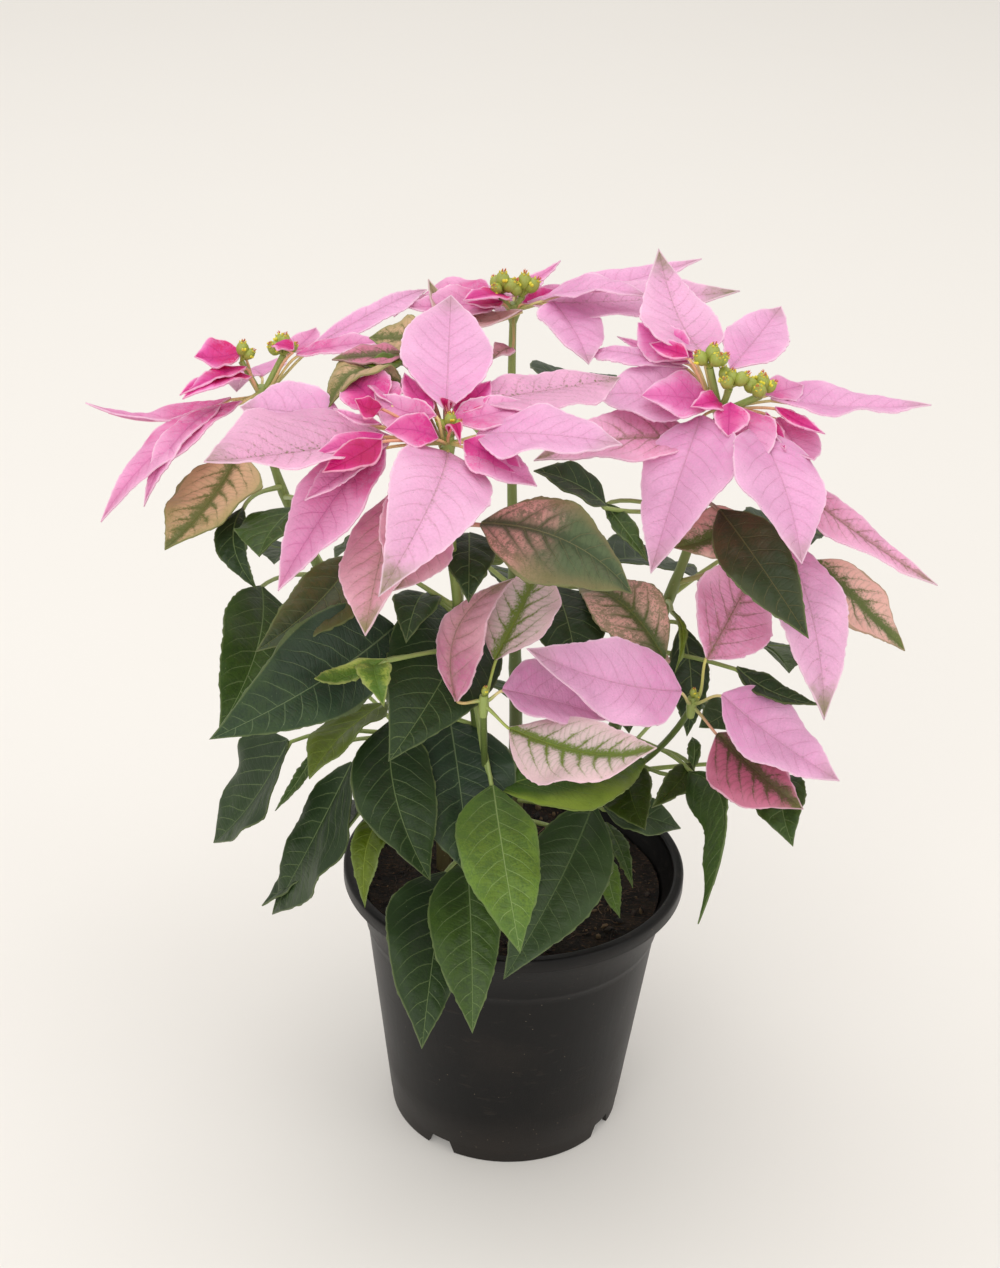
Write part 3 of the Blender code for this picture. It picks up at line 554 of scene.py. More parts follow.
BRACTS = {
    "front": (
        Blade((-28, -56, 317), 91, 21, 56, 30, "pale", arch=-1, roll=3, roundness=1, skew=0.05),
        Blade((-27, -64, 306), 250, -26, 60, 32, "greentip", arch=12, roll=-20, bow=3, roundness=0.1,
              skew=0.05),
        Blade((-45, -60, 309), 215, 5, 66, 43, "speckled", arch=-2, roll=-1, bow=-2, roundness=0.5,
              skew=-0.2),
        Blade((-47, -66, 311), 228, -40, 59, 26, "pink", arch=3, roll=-4, roundness=0.5),
        Blade((-42, -68, 295), 261, -31, 55, 30, "salmon", arch=0, roll=29, bow=-1, roundness=0.6,
              skew=0.05),
        Blade((-37, -66, 294), 262, -22, 44, 28, "salmon", arch=0, roll=-38, bow=3, roundness=0.4,
              skew=0.05),
        Blade((-18, -62, 312), 340, 6, 48, 33, "pale", arch=2, roll=8, bow=-1, roundness=0.6, skew=-0.15),
        Blade((-21, -45, 316), 30, -1, 57, 33, "speckled", arch=1, roll=4, bow=-3, roundness=0.6,
              skew=-0.3),
        Blade((-61, -50, 310), 172, 2, 34, 26, "pale", arch=2, roll=-30, bow=1, roundness=0.8, skew=0.1),
        Blade((-26, -58, 314), 26, 6, 28, 18, "pink", arch=0, roll=14, bow=-1, roundness=0.6, skew=-0.05),
        Blade((-26, -55, 315), 61, 10, 24, 10, "hot", arch=0, roll=6, bow=-1, roundness=0.8, skew=-0.05),
        Blade((-22, -66, 311), 323, -11, 24, 14, "rose", arch=1, roll=23, roundness=0.7),
        Blade((-21, -68, 310), 324, -11, 28, 17, "pink", arch=1, roll=12, bow=-1, roundness=0.5,
              skew=-0.05),
        Blade((-31, -63, 318), 148, 4, 24, 14, "pink", arch=-1, roll=-37, bow=2, roundness=0.7, skew=0.2),
        Blade((-30, -67, 312), 182, 8, 17, 14, "rose", arch=2, roll=-28, roundness=0.7),
        Blade((-32, -56, 317), 119, 13, 22, 9, "rose", arch=-1, roll=6, bow=1, roundness=0.7, skew=0.05),
        Blade((-49, -55, 314), 127, 13, 20, 18, "rose", arch=3, roll=-23, bow=-1, roundness=0.9,
              skew=-0.05),
        Blade((-45, -55, 318), 111, 4, 21, 11, "pink", arch=1, roll=7, roundness=0.8),
        Blade((-47, -77, 315), 220, -13, 23, 13, "crimson", arch=1, roll=-14, bow=2, roundness=0.8),
        Blade((-47, -68, 313), 217, -3, 26, 12, "rose", arch=1, roll=-1, bow=1, roundness=0.6),
        Blade((-48, -71, 310), 226, -16, 32, 13, "pink", arch=-1, roll=1, bow=-1, roundness=0.5, skew=-0.1),
        Blade((-48, -60, 319), 183, 17, 9, 11, "crimson", arch=0, roll=-17, bow=3, roundness=0.8,
              skew=0.05),
        Blade((-48, -62, 314), 171, 14, 16, 6, "pink", arch=0, roll=-5, bow=2, roundness=0.6),
        Blade((-28, -57, 316), 100, 40, 3, 4, "crimson", roundness=0.6),
        Blade((-27, -59, 317), 47, 42, 4, 4, "crimson", roundness=0.6),
        Blade((-27, -63, 312), 295, -1, 10, 5, "crimson", roundness=0.6),
    ),
    "right": (
        Blade((57, 7, 316), 106, 22, 55, 28, "greentip", arch=-6, roll=1, roundness=0, skew=0.1),
        Blade((67, 6, 311), 62, 13, 44, 22, "pale", arch=-1, roll=13, roundness=0.9, skew=-0.05),
        Blade((81, 0, 303), 5, -2, 56, 30, "pale", arch=-2, roll=-3, roundness=0, skew=0.05),
        Blade((80, -6, 283), 339, -28, 73, 23, "flushed", arch=-1, roll=5, bow=-2, roundness=0.5,
              skew=-0.25),
        Blade((57, -8, 299), 250, -37, 62, 34, "pale", arch=3, roll=13, bow=1, roundness=0.2, skew=0.2),
        Blade((75, -14, 298), 286, -30, 56, 35, "pale", arch=4, roll=-14, roundness=0.6, skew=-0.15),
        Blade((61, 2, 299), 172, -1, 41, 31, "pale", arch=3, roll=-20, roundness=0.7),
        Blade((61, -3, 302), 184, 5, 25, 22, "centred", arch=1, roll=-22, roundness=0.7),
        Blade((63, -5, 303), 216, 4, 13, 10, "hot", arch=3, roll=-25, bow=2, roundness=0.7),
        Blade((54, 7, 314), 128, 7, 30, 16, "centred", arch=0, roll=-33, bow=1, roundness=0.9, skew=0.1),
        Blade((52, 2, 316), 136, 0, 18, 8, "hot", arch=0, roll=-26, roundness=0.7),
        Blade((53, 10, 311), 129, -3, 38, 7, "pink", arch=-1, roll=-26, roundness=0.5),
        Blade((53, 13, 308), 140, -9, 44, 10, "pale", arch=8, roll=-21, bow=6, roundness=0.8, skew=0.3),
        Blade((66, -10, 305), 265, -20, 17, 12, "rose", arch=-1, roll=2, roundness=0.7, skew=0.15),
        Blade((70, -7, 302), 281, -23, 28, 19, "pink", arch=1, roll=4, roundness=0.8),
        Blade((79, -5, 300), 284, -14, 22, 5, "hot", arch=-1, roll=-6, bow=1, roundness=0.5),
        Blade((82, -5, 302), 315, -7, 22, 6, "hot", arch=-1, roll=13, roundness=0.5, skew=0.05),
        Blade((84, -2, 297), 292, -10, 27, 20, "pink", arch=-2, roll=-14, roundness=0.8, skew=0.05),
        Blade((79, 1, 304), 37, -1, 18, 13, "pink", arch=0, roll=18, roundness=0.9),
        Blade((57, -10, 290), 180, -9, 57, 32, "flushed", roll=-12),
        Blade((86, -20, 261), 284, -37, 69, 29, "greentip", arch=6, roll=-10, bow=1, roundness=0.6,
              skew=-0.1),
    ),
    "back": (
        Blade((-10, 60, 315), 231, 11, 26, 12, "hot", arch=2, roll=-8, bow=1, roundness=0.6),
        Blade((-12, 58, 314), 218, 9, 17, 9, "hot", arch=-1, roll=-3, roundness=0.5),
        Blade((-12, 62, 313), 200, 1, 37, 20, "pink", arch=-1, roll=-14, roundness=0.7),
        Blade((-5, 52, 313), 156, 8, 38, 25, "tan", arch=-8, roll=-1, bow=8, roundness=0.5, skew=0.15),
        Blade((-5, 60, 313), 51, 0, 20, 10, "hot", arch=2, roll=25, bow=-3, roundness=0.6, skew=-0.1),
        Blade((-5, 62, 313), 45, -1, 30, 10, "pink", arch=1, roll=-3, bow=-1, roundness=0.6, skew=-0.05),
        Blade((-7, 64, 318), 52, 8, 26, 6, "pink", arch=-1, roll=-1, bow=-1, roundness=0.3),
        Blade((6, 54, 316), 291, -16, 38, 25, "pale", arch=1, roll=-9, bow=1, roundness=0.8, skew=-0.05),
        Blade((-3, 60, 313), 359, 6, 77, 28, "greentip", arch=-1, roll=13, bow=-1, roundness=0.7,
              skew=-0.1),
        Blade((2, 56, 316), -14, 8, 40, 22, "pale", arch=3),
        Blade((4, 66, 313), 24, 8, 64, 18, "pale", arch=-1, roll=7, bow=-1, roundness=0.3),
        Blade((-8, 70, 312), 97, -28, 50, 28, "pale"),
        Blade((-16, 68, 311), 150, -20, 46, 28, "pink"),
        Blade((-8, 55, 297), 224, -10, 10, 10, "salmon", arch=2, roll=-4, bow=1, roundness=0.6),
    ),
    "left": (
        Blade((-104, 34, 300), 199, -1, 17, 19, "hot", arch=-2, roll=-10, bow=-1, roundness=0.8,
              skew=-0.05),
        Blade((-102, 30, 296), 226, -6, 30, 13, "hot", arch=1, roll=8, roundness=0.5),
        Blade((-100, 28, 293), 224, -2, 30, 13, "hot", arch=3, roundness=0.5),
        Blade((-89, 34, 300), 68, 4, 25, 13, "pink", arch=-1, roll=-3, bow=-1, roundness=0.7, skew=-0.05),
        Blade((-84, 28, 302), 352, 13, 35, 14, "pink", arch=1, roll=5, roundness=0.5),
        Blade((-85, 26, 304), 347, -3, -8, 12, "hot", arch=1, roundness=0.6),
        Blade((-103, 22, 286), 222, -27, 67, 22, "pink", arch=6, roll=4, bow=-1, roundness=0.8, skew=0.2),
        Blade((-108, 30, 284), 196, 2, 51, 22, "pink", arch=-7, roll=14, roundness=0.4),
        Blade((-110, 19, 285), 241, -26, 50, 13, "pink", arch=6, roll=13, roundness=0.4),
        Blade((-81, 34, 301), 44, 11, 58, 12, "pale", arch=10, roll=13, bow=-8, roundness=0.4, skew=-0.25),
        Blade((-98, 42, 288), 111, -28, 46, 28, "pale"),
    ),
    "low_front": (
        Blade((-10, -65, 233), 63, 36, 39, 28, "whitepink", arch=3, roll=-11, bow=-3, roundness=0.6,
              skew=-0.2),
        Blade((-7, -74, 227), 6, -18, 39, 29, "pale", arch=1, roll=15, roundness=0.2, skew=0.1),
        Blade((-22, -76, 223), 51, 51, 45, 20, "salmon", arch=3, bow=10, roundness=0.4, skew=-0.35),
        Blade((-4, -82, 217), 325, 14, 57, 32, "whitepink", arch=-8, roll=19, bow=1, roundness=0.5,
              skew=-0.2),
    ),
    "low_right": (
        Blade((53, -58, 220), 196, 22, 59, 34, "pale", arch=0, roll=-32, bow=4, roundness=0.2, skew=0.05),
        Blade((62, -46, 226), 61, 29, 45, 33, "flushed", arch=3, roll=47, bow=1, roundness=0.6, skew=0.05),
        Blade((67, -56, 218), 341, -29, 49, 32, "pale", arch=0, roll=15, bow=-2, roundness=0.2, skew=-0.05),
        Blade((67, -53, 201), 325, -25, 39, 29, "dusky", arch=3, roll=19, bow=-3, roundness=0.5, skew=-0.3),
    ),
}

# Clusters of cyathia: where each one's branch ends, how many buds stand there, and how large they are
HEADS = {
    "front": (((-27, -61, 312), 3, 0.75),),
    "right": (((59, -2, 314), 6, 1.0), ((66, -5, 308), 4, 0.95), ((77, -3, 305), 5, 1.0)),
    "back": (((-13, 59, 316), 4, 1.05), ((-5, 61, 315), 4, 1.05)),
    "left": (((-104, 32, 297), 2, 0.9), ((-89, 32, 300), 4, 0.95)),
    "low_front": (((-13, -75, 224), 1, 0.5),),
    "low_right": (((58, -46, 210), 2, 0.5),),
}

# Half width of a blade from its foot to its tip, as (place along the blade, part of its half width)
OVATE = ((0.0, 0.06), (0.04, 0.32), (0.11, 0.7), (0.2, 0.93), (0.3, 1.0), (0.42, 0.96), (0.56, 0.8),
         (0.7, 0.58), (0.84, 0.31), (0.94, 0.11), (1.0, 0.0))
ELLIPTIC = ((0.0, 0.05), (0.07, 0.24), (0.17, 0.56), (0.3, 0.87), (0.42, 0.99), (0.54, 0.98), (0.68, 0.8),
            (0.81, 0.51), (0.91, 0.24), (0.97, 0.08), (1.0, 0.0))


class Value:
    """One output in a node tree, which can stand in plain sums."""

    def __init__(self, maker, socket):
        self.maker = maker
        self.socket = socket

    def __add__(self, other):
        return self.maker.sum("ADD", self, other)

    __radd__ = __add__

    def __sub__(self, other):
        return self.maker.sum("SUBTRACT", self, other)

    def __rsub__(self, other):
        return self.maker.sum("SUBTRACT", other, self)

    def __mul__(self, other):
        return self.maker.sum("MULTIPLY", self, other)

    __rmul__ = __mul__

    def __truediv__(self, other):
        return self.maker.sum("DIVIDE", self, other)

    def __pow__(self, other):
        return self.maker.sum("POWER", self, other)


class Maker:
    """Adds nodes to a tree for a material or for geometry, and wires them."""

    def __init__(self, tree):
        self.tree = tree

    def node(self, kind, inputs=(), **settings):
        """One node, with its settings and with values or wires for its inputs."""
        built = self.tree.nodes.new(kind)
        for name, value in settings.items():
            setattr(built, name, value)
        for name, value in dict(inputs).items():
            self.wire(value, built.inputs[name])
        return built

    def wire(self, value, socket):
        if isinstance(value, Value):
            self.tree.links.new(value.socket, socket)
        else:
            socket.default_value = value

    def sum(self, operation, *terms, clamp=False):
        built = self.node("ShaderNodeMath", enumerate(terms), operation=operation, use_clamp=clamp)
        return Value(self, built.outputs[0])

    def vector(self, operation, *terms):
        built = self.node("ShaderNodeVectorMath", enumerate(terms), operation=operation)
        return Value(self, built.outputs[0])

    def scaled(self, vector, factor):
        """A vector made longer or shorter, or a colour made lighter or darker."""
        built = self.node("ShaderNodeVectorMath", {0: vector, "Scale": factor}, operation="SCALE")
        return Value(self, built.outputs[0])

    def joined(self, x, y, z):
        built = self.node("ShaderNodeCombineXYZ", {"X": x, "Y": y, "Z": z})
        return Value(self, built.outputs[0])

    def parts(self, vector):
        built = self.node("ShaderNodeSeparateXYZ", {0: vector})
        return [Value(self, output) for output in built.outputs]

    def rise(self, value, low, high):
        """A smooth step from 0 at one value to 1 at another."""
        built = self.node(
            "ShaderNodeMapRange", {"Value": value, "From Min": low, "From Max": high},
            interpolation_type="SMOOTHSTEP",
        )
        return Value(self, built.outputs[0])

    def blend(self, share, first, second):
        """A colour between two."""
        built = self.node("ShaderNodeMix", {0: share, 6: first, 7: second}, data_type="RGBA")
        return Value(self, built.outputs[2])

    def clouds(self, vector, scale, detail=2.0):
        built = self.node("ShaderNodeTexNoise", {"Vector": vector, "Scale": scale, "Detail": detail})
        return Value(self, built.outputs[0])

    def cells(self, vector, scale):
        built = self.node("ShaderNodeTexVoronoi", {"Vector": vector, "Scale": scale})
        return Value(self, built.outputs["Distance"])

    def curve(self, value, points):
        """A smooth curve through points."""
        built = self.node("ShaderNodeFloatCurve", {"Value": value})
        line = built.mapping.curves[0]
        line.points[0].location = points[0]
        line.points[1].location = points[-1]
        for point in points[1:-1]:
            line.points.new(*point)
        built.mapping.update()
        return Value(self, built.outputs[0])


class GeometryMaker(Maker):
    """A maker for Geometry Nodes, with the tree's own named inputs."""

    def __init__(self, name, inputs):
        super().__init__(bpy.data.node_groups.new(name, "GeometryNodeTree"))
        self.tree.interface.new_socket("Geometry", in_out="INPUT", socket_type="NodeSocketGeometry")
        for label, kind in inputs.items():
            self.tree.interface.new_socket(label, in_out="INPUT", socket_type=kind)
        self.tree.interface.new_socket("Geometry", in_out="OUTPUT", socket_type="NodeSocketGeometry")
        self.entry = self.tree.nodes.new("NodeGroupInput")

    def given(self, label):
        return Value(self, self.entry.outputs[label])

    def field(self, name, kind="FLOAT_VECTOR"):
        """An attribute of the geometry."""
        built = self.node("GeometryNodeInputNamedAttribute", {"Name": name}, data_type=kind)
        return Value(self, built.outputs[0])

    def geometry(self, kind, inputs, **settings):
        """A node that passes geometry on."""
        return Value(self, self.node(kind, inputs, **settings).outputs[0])

    def stored(self, geometry, name, value):
        return self.geometry(
            "GeometryNodeStoreNamedAttribute", {"Geometry": geometry, "Name": name, "Value": value},
            data_type="FLOAT_VECTOR", domain="POINT",
        )

    def on_points(self, shape, **more):
        """A copy of some geometry on each point of the tree's own."""
        inputs = {"Points": self.given("Geometry"), "Instance": shape, **more}
        return self.geometry("GeometryNodeInstanceOnPoints", inputs)

    def finish(self, geometry):
        """Ends the tree: copies become real, and they get the given material."""
        real = self.geometry("GeometryNodeRealizeInstances", {"Geometry": geometry})
        material = self.given("Material")
        painted = self.geometry("GeometryNodeSetMaterial", {"Geometry": real, "Material": material})
        self.node("NodeGroupOutput", {"Geometry": painted})
        return self.tree


def vein_count(along_mm, out, out_mm):
    """How many side veins leave the midrib before a spot, as they slant and curve towards the tip."""
    slant = out_mm * (VEIN_SLOPE + out * out * VEIN_CURVE)
    return (along_mm - slant) / VEIN_SPACING


def two_clouds(make, place, layers):
    """Soft unevenness in millimetres, from two layers of clouds: how many a millimetre, and their reach."""
    broad, small = [(make.clouds(place, per_mm, 1.0) - 0.5) * reach for per_mm, reach in layers]
    return broad + small


def blade_half(make, way, left):
    """Half the width at each place along a blade, more on one side where the blade is skewed."""
    _, half_width, _ = make.parts(make.field("size"))
    roundness, _, skew = make.parts(make.field("shape"))
    ovate = make.curve(way, OVATE)
    elliptic = make.curve(way, ELLIPTIC)
    return half_width * (ovate + roundness * (elliptic - ovate)) * (1.0 + skew * (left * 2.0 - 1.0))


def blade_edge(make, way, left, along_mm, phase):
    """How far the edge stands out in millimetres: an angular corner on each side, and small teeth."""
    left_corner, right_corner, corner = make.parts(make.field("corners"))
    corner_place = right_corner + left * (left_corner - right_corner)
    from_corner = make.sum("ABSOLUTE", way - corner_place) * CORNER_SHARPNESS
    near_corner = make.sum("MAXIMUM", 1.0 - from_corner, 0.0)
    rim = make.joined(along_mm, left * EDGE_OFFSET, phase * PHASE_STEP)
    past_foot = make.rise(way, 0.04, 0.2)
    below_tip = make.rise(way, 1.0, 0.8)
    return near_corner * corner + two_clouds(make, rim, TEETH) * past_foot * below_tip


def blade_lift(make, way, out, left, half, along_mm, across_mm, phase):
    """How far a spot stands above the flat blade: fold, ripples, quilting between veins, and crumple."""
    out_mm = out * half
    lift = tan(radians(FOLD)) * half * (out * 1.5 - out**3.0 * 0.5)
    ripple = make.sum("SINE", way * RIPPLES + phase + left * RIPPLE_SHIFT)
    lift = lift + WAVE * half * out**2.0 * ripple * make.sum("SINE", way * pi)
    _, quilting, _ = make.parts(make.field("shape"))
    vein = vein_count(along_mm, out, out_mm) + left * 0.5
    puff = 0.5 - make.sum("COSINE", vein * (2 * pi)) * 0.5
    between = make.rise(out, 0.02, 0.3)
    inside = make.rise(out, 1.0, 0.7)
    below_tip = make.rise(way, 1.0, 0.7)
    lift = lift + puff * quilting * between * inside * below_tip
    spread = make.joined(along_mm, across_mm, phase * CRUMPLE_STEP)
    soft = two_clouds(make, spread, CRUMPLES)
    return lift + soft * make.given("Crumple") * make.sum("MINIMUM", out_mm / STIFF_BAND, 1.0)


def blade_tree():
    """Grows a blade from each point of a mesh, by the size, bends and edges that the point carries."""
    make = GeometryMaker("blades", {
        "Stations": "NodeSocketInt", "Columns": "NodeSocketInt", "Crumple": "NodeSocketFloat",
        "Material": "NodeSocketMaterial",
    })
    sheet = make.geometry("GeometryNodeMeshGrid", {
        "Size X": 1.0, "Size Y": 2.0,
        "Vertices X": make.given("Stations"), "Vertices Y": make.given("Columns"),
    })
    spot = Value(make, make.node("GeometryNodeInputPosition").outputs[0])
    sheet = make.stored(sheet, "place", make.vector("ADD", spot, (0.5, 0.0, 0.0)))
    copies = make.on_points(sheet)
    sheets = make.geometry("GeometryNodeRealizeInstances", {"Geometry": copies})

    way, side, _ = make.parts(make.field("place"))
    length, _, arch = make.parts(make.field("size"))
    bow, phase, _ = make.parts(make.field("bend"))
    out = make.sum("ABSOLUTE", side)
    left = make.sum("GREATER_THAN", side, 0.0)
    half = blade_half(make, way, left)
    along_mm = way * length
    edge_mm = blade_edge(make, way, left, along_mm, phase)
    across_mm = side * half + (left * 2.0 - 1.0) * out**4.0 * edge_mm
    lift = blade_lift(make, way, out, left, half, along_mm, across_mm, phase)

    point = make.field("foot")
    across = make.field("across")
    face = make.field("face")
    for direction, reach in (
        (make.field("along"), along_mm),
        (face, arch * 4.0 * way * (1.0 - way)),
        (across, bow * 4.0 * way * (1.0 - way)),
        (across, across_mm),
        (face, lift),
    ):
        point = make.vector("ADD", point, make.scaled(direction, reach))
    sheets = make.stored(sheets, "flat", make.joined(along_mm, across_mm, half))
    sheets = make.geometry("GeometryNodeSetPosition", {"Geometry": sheets, "Position": point})
    sheets = make.geometry("GeometryNodeMergeByDistance", {"Geometry": sheets, "Distance": WELD})
    return make.finish(sheets)


def line_tree():
    """Turns lines of points that carry a radius into round stalks."""
    make = GeometryMaker("stalks", {"Sides": "NodeSocketInt", "Material": "NodeSocketMaterial"})
    curves = make.geometry("GeometryNodeMeshToCurve", {"Mesh": make.given("Geometry")})
    sides = make.given("Sides")
    ring = make.geometry("GeometryNodeCurvePrimitiveCircle", {"Resolution": sides, "Radius": 1.0})
    tubes = make.geometry("GeometryNodeCurveToMesh", {
        "Curve": curves, "Profile Curve": ring, "Scale": make.field("thickness", "FLOAT"), "Fill Caps": True,
    })
    return make.finish(tubes)


def scatter_tree():
    """Sets a copy of an object on each point, turned and sized as the point says."""
    make = GeometryMaker("copies", {"Copy": "NodeSocketObject", "Material": "NodeSocketMaterial"})
    info = make.node("GeometryNodeObjectInfo", {"Object": make.given("Copy")})
    shape = Value(make, info.outputs["Geometry"])
    return make.finish(make.on_points(shape, Rotation=make.field("turn"), Scale=make.field("size")))


def grow(built, tree, **values):
    """Puts a tree on an object as a modifier, with values for the tree's named inputs."""
    modifier = built.modifiers.new(tree.name, "NODES")
    modifier.node_group = tree
    for item in tree.interface.items_tree:
        if item.name in values:
            modifier[item.identifier] = values[item.name]
    return built


def add_object(name, points, edges=(), faces=()):
    mesh = bpy.data.meshes.new(name)
    mesh.from_pydata([tuple(point) for point in points], list(edges), list(faces))
    built = bpy.data.objects.new(name, mesh)
    bpy.context.scene.collection.objects.link(built)
    return built


def carry(built, name, values, kind="FLOAT_VECTOR"):
    """Gives each point of an object's mesh a value of its own."""
    attribute = built.data.attributes.new(name, kind, "POINT")
    field = {"FLOAT_VECTOR": "vector", "FLOAT_COLOR": "color", "FLOAT": "value"}[kind]
    flat = values if kind == "FLOAT" else [part for value in values for part in value]
    attribute.data.foreach_set(field, flat)


def settle(built):
    """Makes an object's modifiers a plain mesh."""
    graph = bpy.context.evaluated_depsgraph_get()
    result = bpy.data.meshes.new_from_object(built.evaluated_get(graph))
    built.modifiers.clear()
    built.data = result
    return built


def join(name, pieces):
    """Several finished objects in one."""
    with bpy.context.temp_override(
        active_object=pieces[0], selected_objects=pieces, selected_editable_objects=pieces
    ):
        bpy.ops.object.join()
    pieces[0].name = name
    return pieces[0]


def keep_piece(piece, slot, *nodes):
    """Puts a finished piece into the frame, smooths it, and hides the imported parts of the nodes that it
    stands for.
    """
    mesh = piece.data
    mesh.transform(Matrix.Scale(METRES_PER_MM, 4) @ Matrix.Translation(POT_PLACE))
    mesh.shade_smooth()
    mesh.set_sharp_from_angle(angle=radians(SHARP_ANGLE))
    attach(piece, "root")
    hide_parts(*nodes)


def blade_axes(blade):
    """A blade's three directions: along its chord, across it, and out of its upper face."""
    heading = radians(blade.heading)
    rise = radians(blade.rise)
    roll = radians(blade.roll)
    along = Vector((cos(rise) * cos(heading), cos(rise) * sin(heading), sin(rise)))
    level = Vector((-sin(heading), cos(heading), 0.0))
    across = level * cos(roll) + along.cross(level) * sin(roll)
    return along, across, along.cross(across)


def give_materials(built, *materials):
    """Gives a finished mesh just these materials, in their order."""
    built.data.materials.clear()
    for material in materials:
        built.data.materials.append(material)


def grow_blade_group(name, chosen, grid, tree, upper, under):
    """Blades of one fineness as thin closed sheets. Each chosen one is a blade and its phase."""
    blades = [blade for blade, _ in chosen]
    looks = [LOOKS[blade.look] for blade in blades]
    along, across, face = zip(*[blade_axes(blade) for blade in blades])
    built = add_object(name, [blade.foot for blade in blades])
    for label, values in (
        ("foot", [blade.foot for blade in blades]),
        ("along", along),
        ("across", across),
        ("face", face),
        ("size", [(blade.length, blade.width / 2, blade.arch) for blade in blades]),
        ("bend", [(blade.bow, phase, 0.0) for blade, phase in chosen]),
        ("corners", [blade.corners for blade in blades]),
        ("shape", [(blade.roundness, look.quilting, blade.skew) for blade, look in zip(blades, looks)]),
        ("stain", [(*look.stain, look.line) for look in looks]),
        ("marks", [(look.speckle, look.tip, look.edge_share) for look in looks]),
        ("patch", [look.patch for look in looks]),
    ):
        carry(built, label, values)
    for label in ("body", "rim_tone", "vein_tone", "stain_tone", "patch_tone"):
        carry(built, label, [tone(*getattr(look, label)) for look in looks], "FLOAT_COLOR")
    stations, columns = grid
    grow(built, tree, Stations=stations, Columns=columns, Crumple=CRUMPLE, Material=upper)
    solid = built.modifiers.new("thickness", "SOLIDIFY")
    solid.thickness = BLADE_THICKNESS
    solid.offset = -1.0
    solid.material_offset = 1
    solid.material_offset_rim = 0
    give_materials(built, upper, under)
    settle(built)
    give_materials(built, upper, under)
    return built


def grow_blades(name, blades, tree, upper, under, seed):
    """The blades of one stem or bloom, with more points on the large ones than on the small ones."""
    draw = random.Random(seed)
    phased = [(blade, draw.uniform(0.0, 2 * pi)) for blade in blades]
    large = [(blade, phase) for blade, phase in phased if blade.length >= LARGE_BLADE]
    small = [(blade, phase) for blade, phase in phased if blade.length < LARGE_BLADE]
    return join(name, [
        grow_blade_group(f"{name}_{label}", chosen, grid, tree, upper, under)
        for label, chosen, grid in (("large", large, LARGE_GRID), ("small", small, SMALL_GRID))
        if chosen
    ])


def bezier(start, start_handle, end_handle, end, place):
    """A point on a cubic curve."""
    left = 1 - place
    return (
        start * left**3
        + start_handle * (3 * left**2 * place)
        + end_handle * (3 * left * place**2)
        + end * place**3
    )


def stem_path(stem):
    """Points up a rooted stem: upright through the soil, then curving to under its bloom."""
    x, y = stem.foot
    start = Vector((x, y, SOIL_LEVEL + STRAIGHT_ABOVE_SOIL))
    end = Vector(stem.bloom)
    reach = (end.z - start.z) / 3
    points = [Vector((x, y, SOIL_LEVEL - STEM_ROOT))]
    for station in range(STEM_STATIONS + 1):
        place = station / STEM_STATIONS
        points.append(bezier(start, start + Vector((0, 0, reach)), end - Vector((0, 0, reach)), end, place))
    return points


def point_at_height(path, height):
    """The point where a rising path passes a height."""
    for low, high in zip(path, path[1:]):
        if low.z <= height <= high.z:
            return low.lerp(high, (height - low.z) / (high.z - low.z))
    return path[-1] if height > path[-1].z else path[0]


def shoot_path(shoot):
    """Points along a side shoot from its stem to under its bloom."""
    start = point_at_height(stem_path(STEMS[shoot.stem]), shoot.joint)
    end = Vector(shoot.bloom)
    outwards = Vector((end.x - start.x, end.y - start.y, 0))
    start_handle = start + outwards / 3 + Vector((0, 0, SHOOT_LIFT))
    end_handle = end - outwards / 6 - Vector((0, 0, (end.z - start.z) / 3))
    return [
        bezier(start, start_handle, end_handle, end, station / SHOOT_STATIONS)
        for station in range(SHOOT_STATIONS + 1)
    ]


def stalk_start(blade, path):
    """The point on a stem where a leaf's stalk leaves it."""
    foot = Vector(blade.foot)
    joint = blade.joint
    if not joint:
        near = point_at_height(path, foot.z)
        joint = foot.z - STALK_SLOPE * (foot - near).length
    return point_at_height(path, max(joint, LOWEST_STALK))


def mixed(first, second, share):
    """A colour between two."""
    return tuple(one + (other - one) * share for one, other in zip(first, second))


def stem_line(path, foot_radius, tip_radius, joints):
    """A stem's line: points with a radius that swells at its joints, and a colour, woody at its foot."""
    line = []
    for place, point in enumerate(path):
        share = place / (len(path) - 1)
        radius = foot_radius + (tip_radius - foot_radius) * share
        for joint in joints:
            away = (point - joint).length / JOINT_SPREAD
            radius += JOINT_SWELLING * max(0.0, 1.0 - away * away)
        height = (point.z - SOIL_LEVEL) / PLANT_HEIGHT
        colour = mixed(WOODY_STEM, GREEN_STEM, min(max(height * WOOD_FADE, 0.0), 1.0))
        colour = mixed(colour, YOUNG_STEM, min(max(height - YOUNG_FROM, 0.0) * YOUNG_FADE, 1.0))
        line.append((point, radius, colour))
    return line


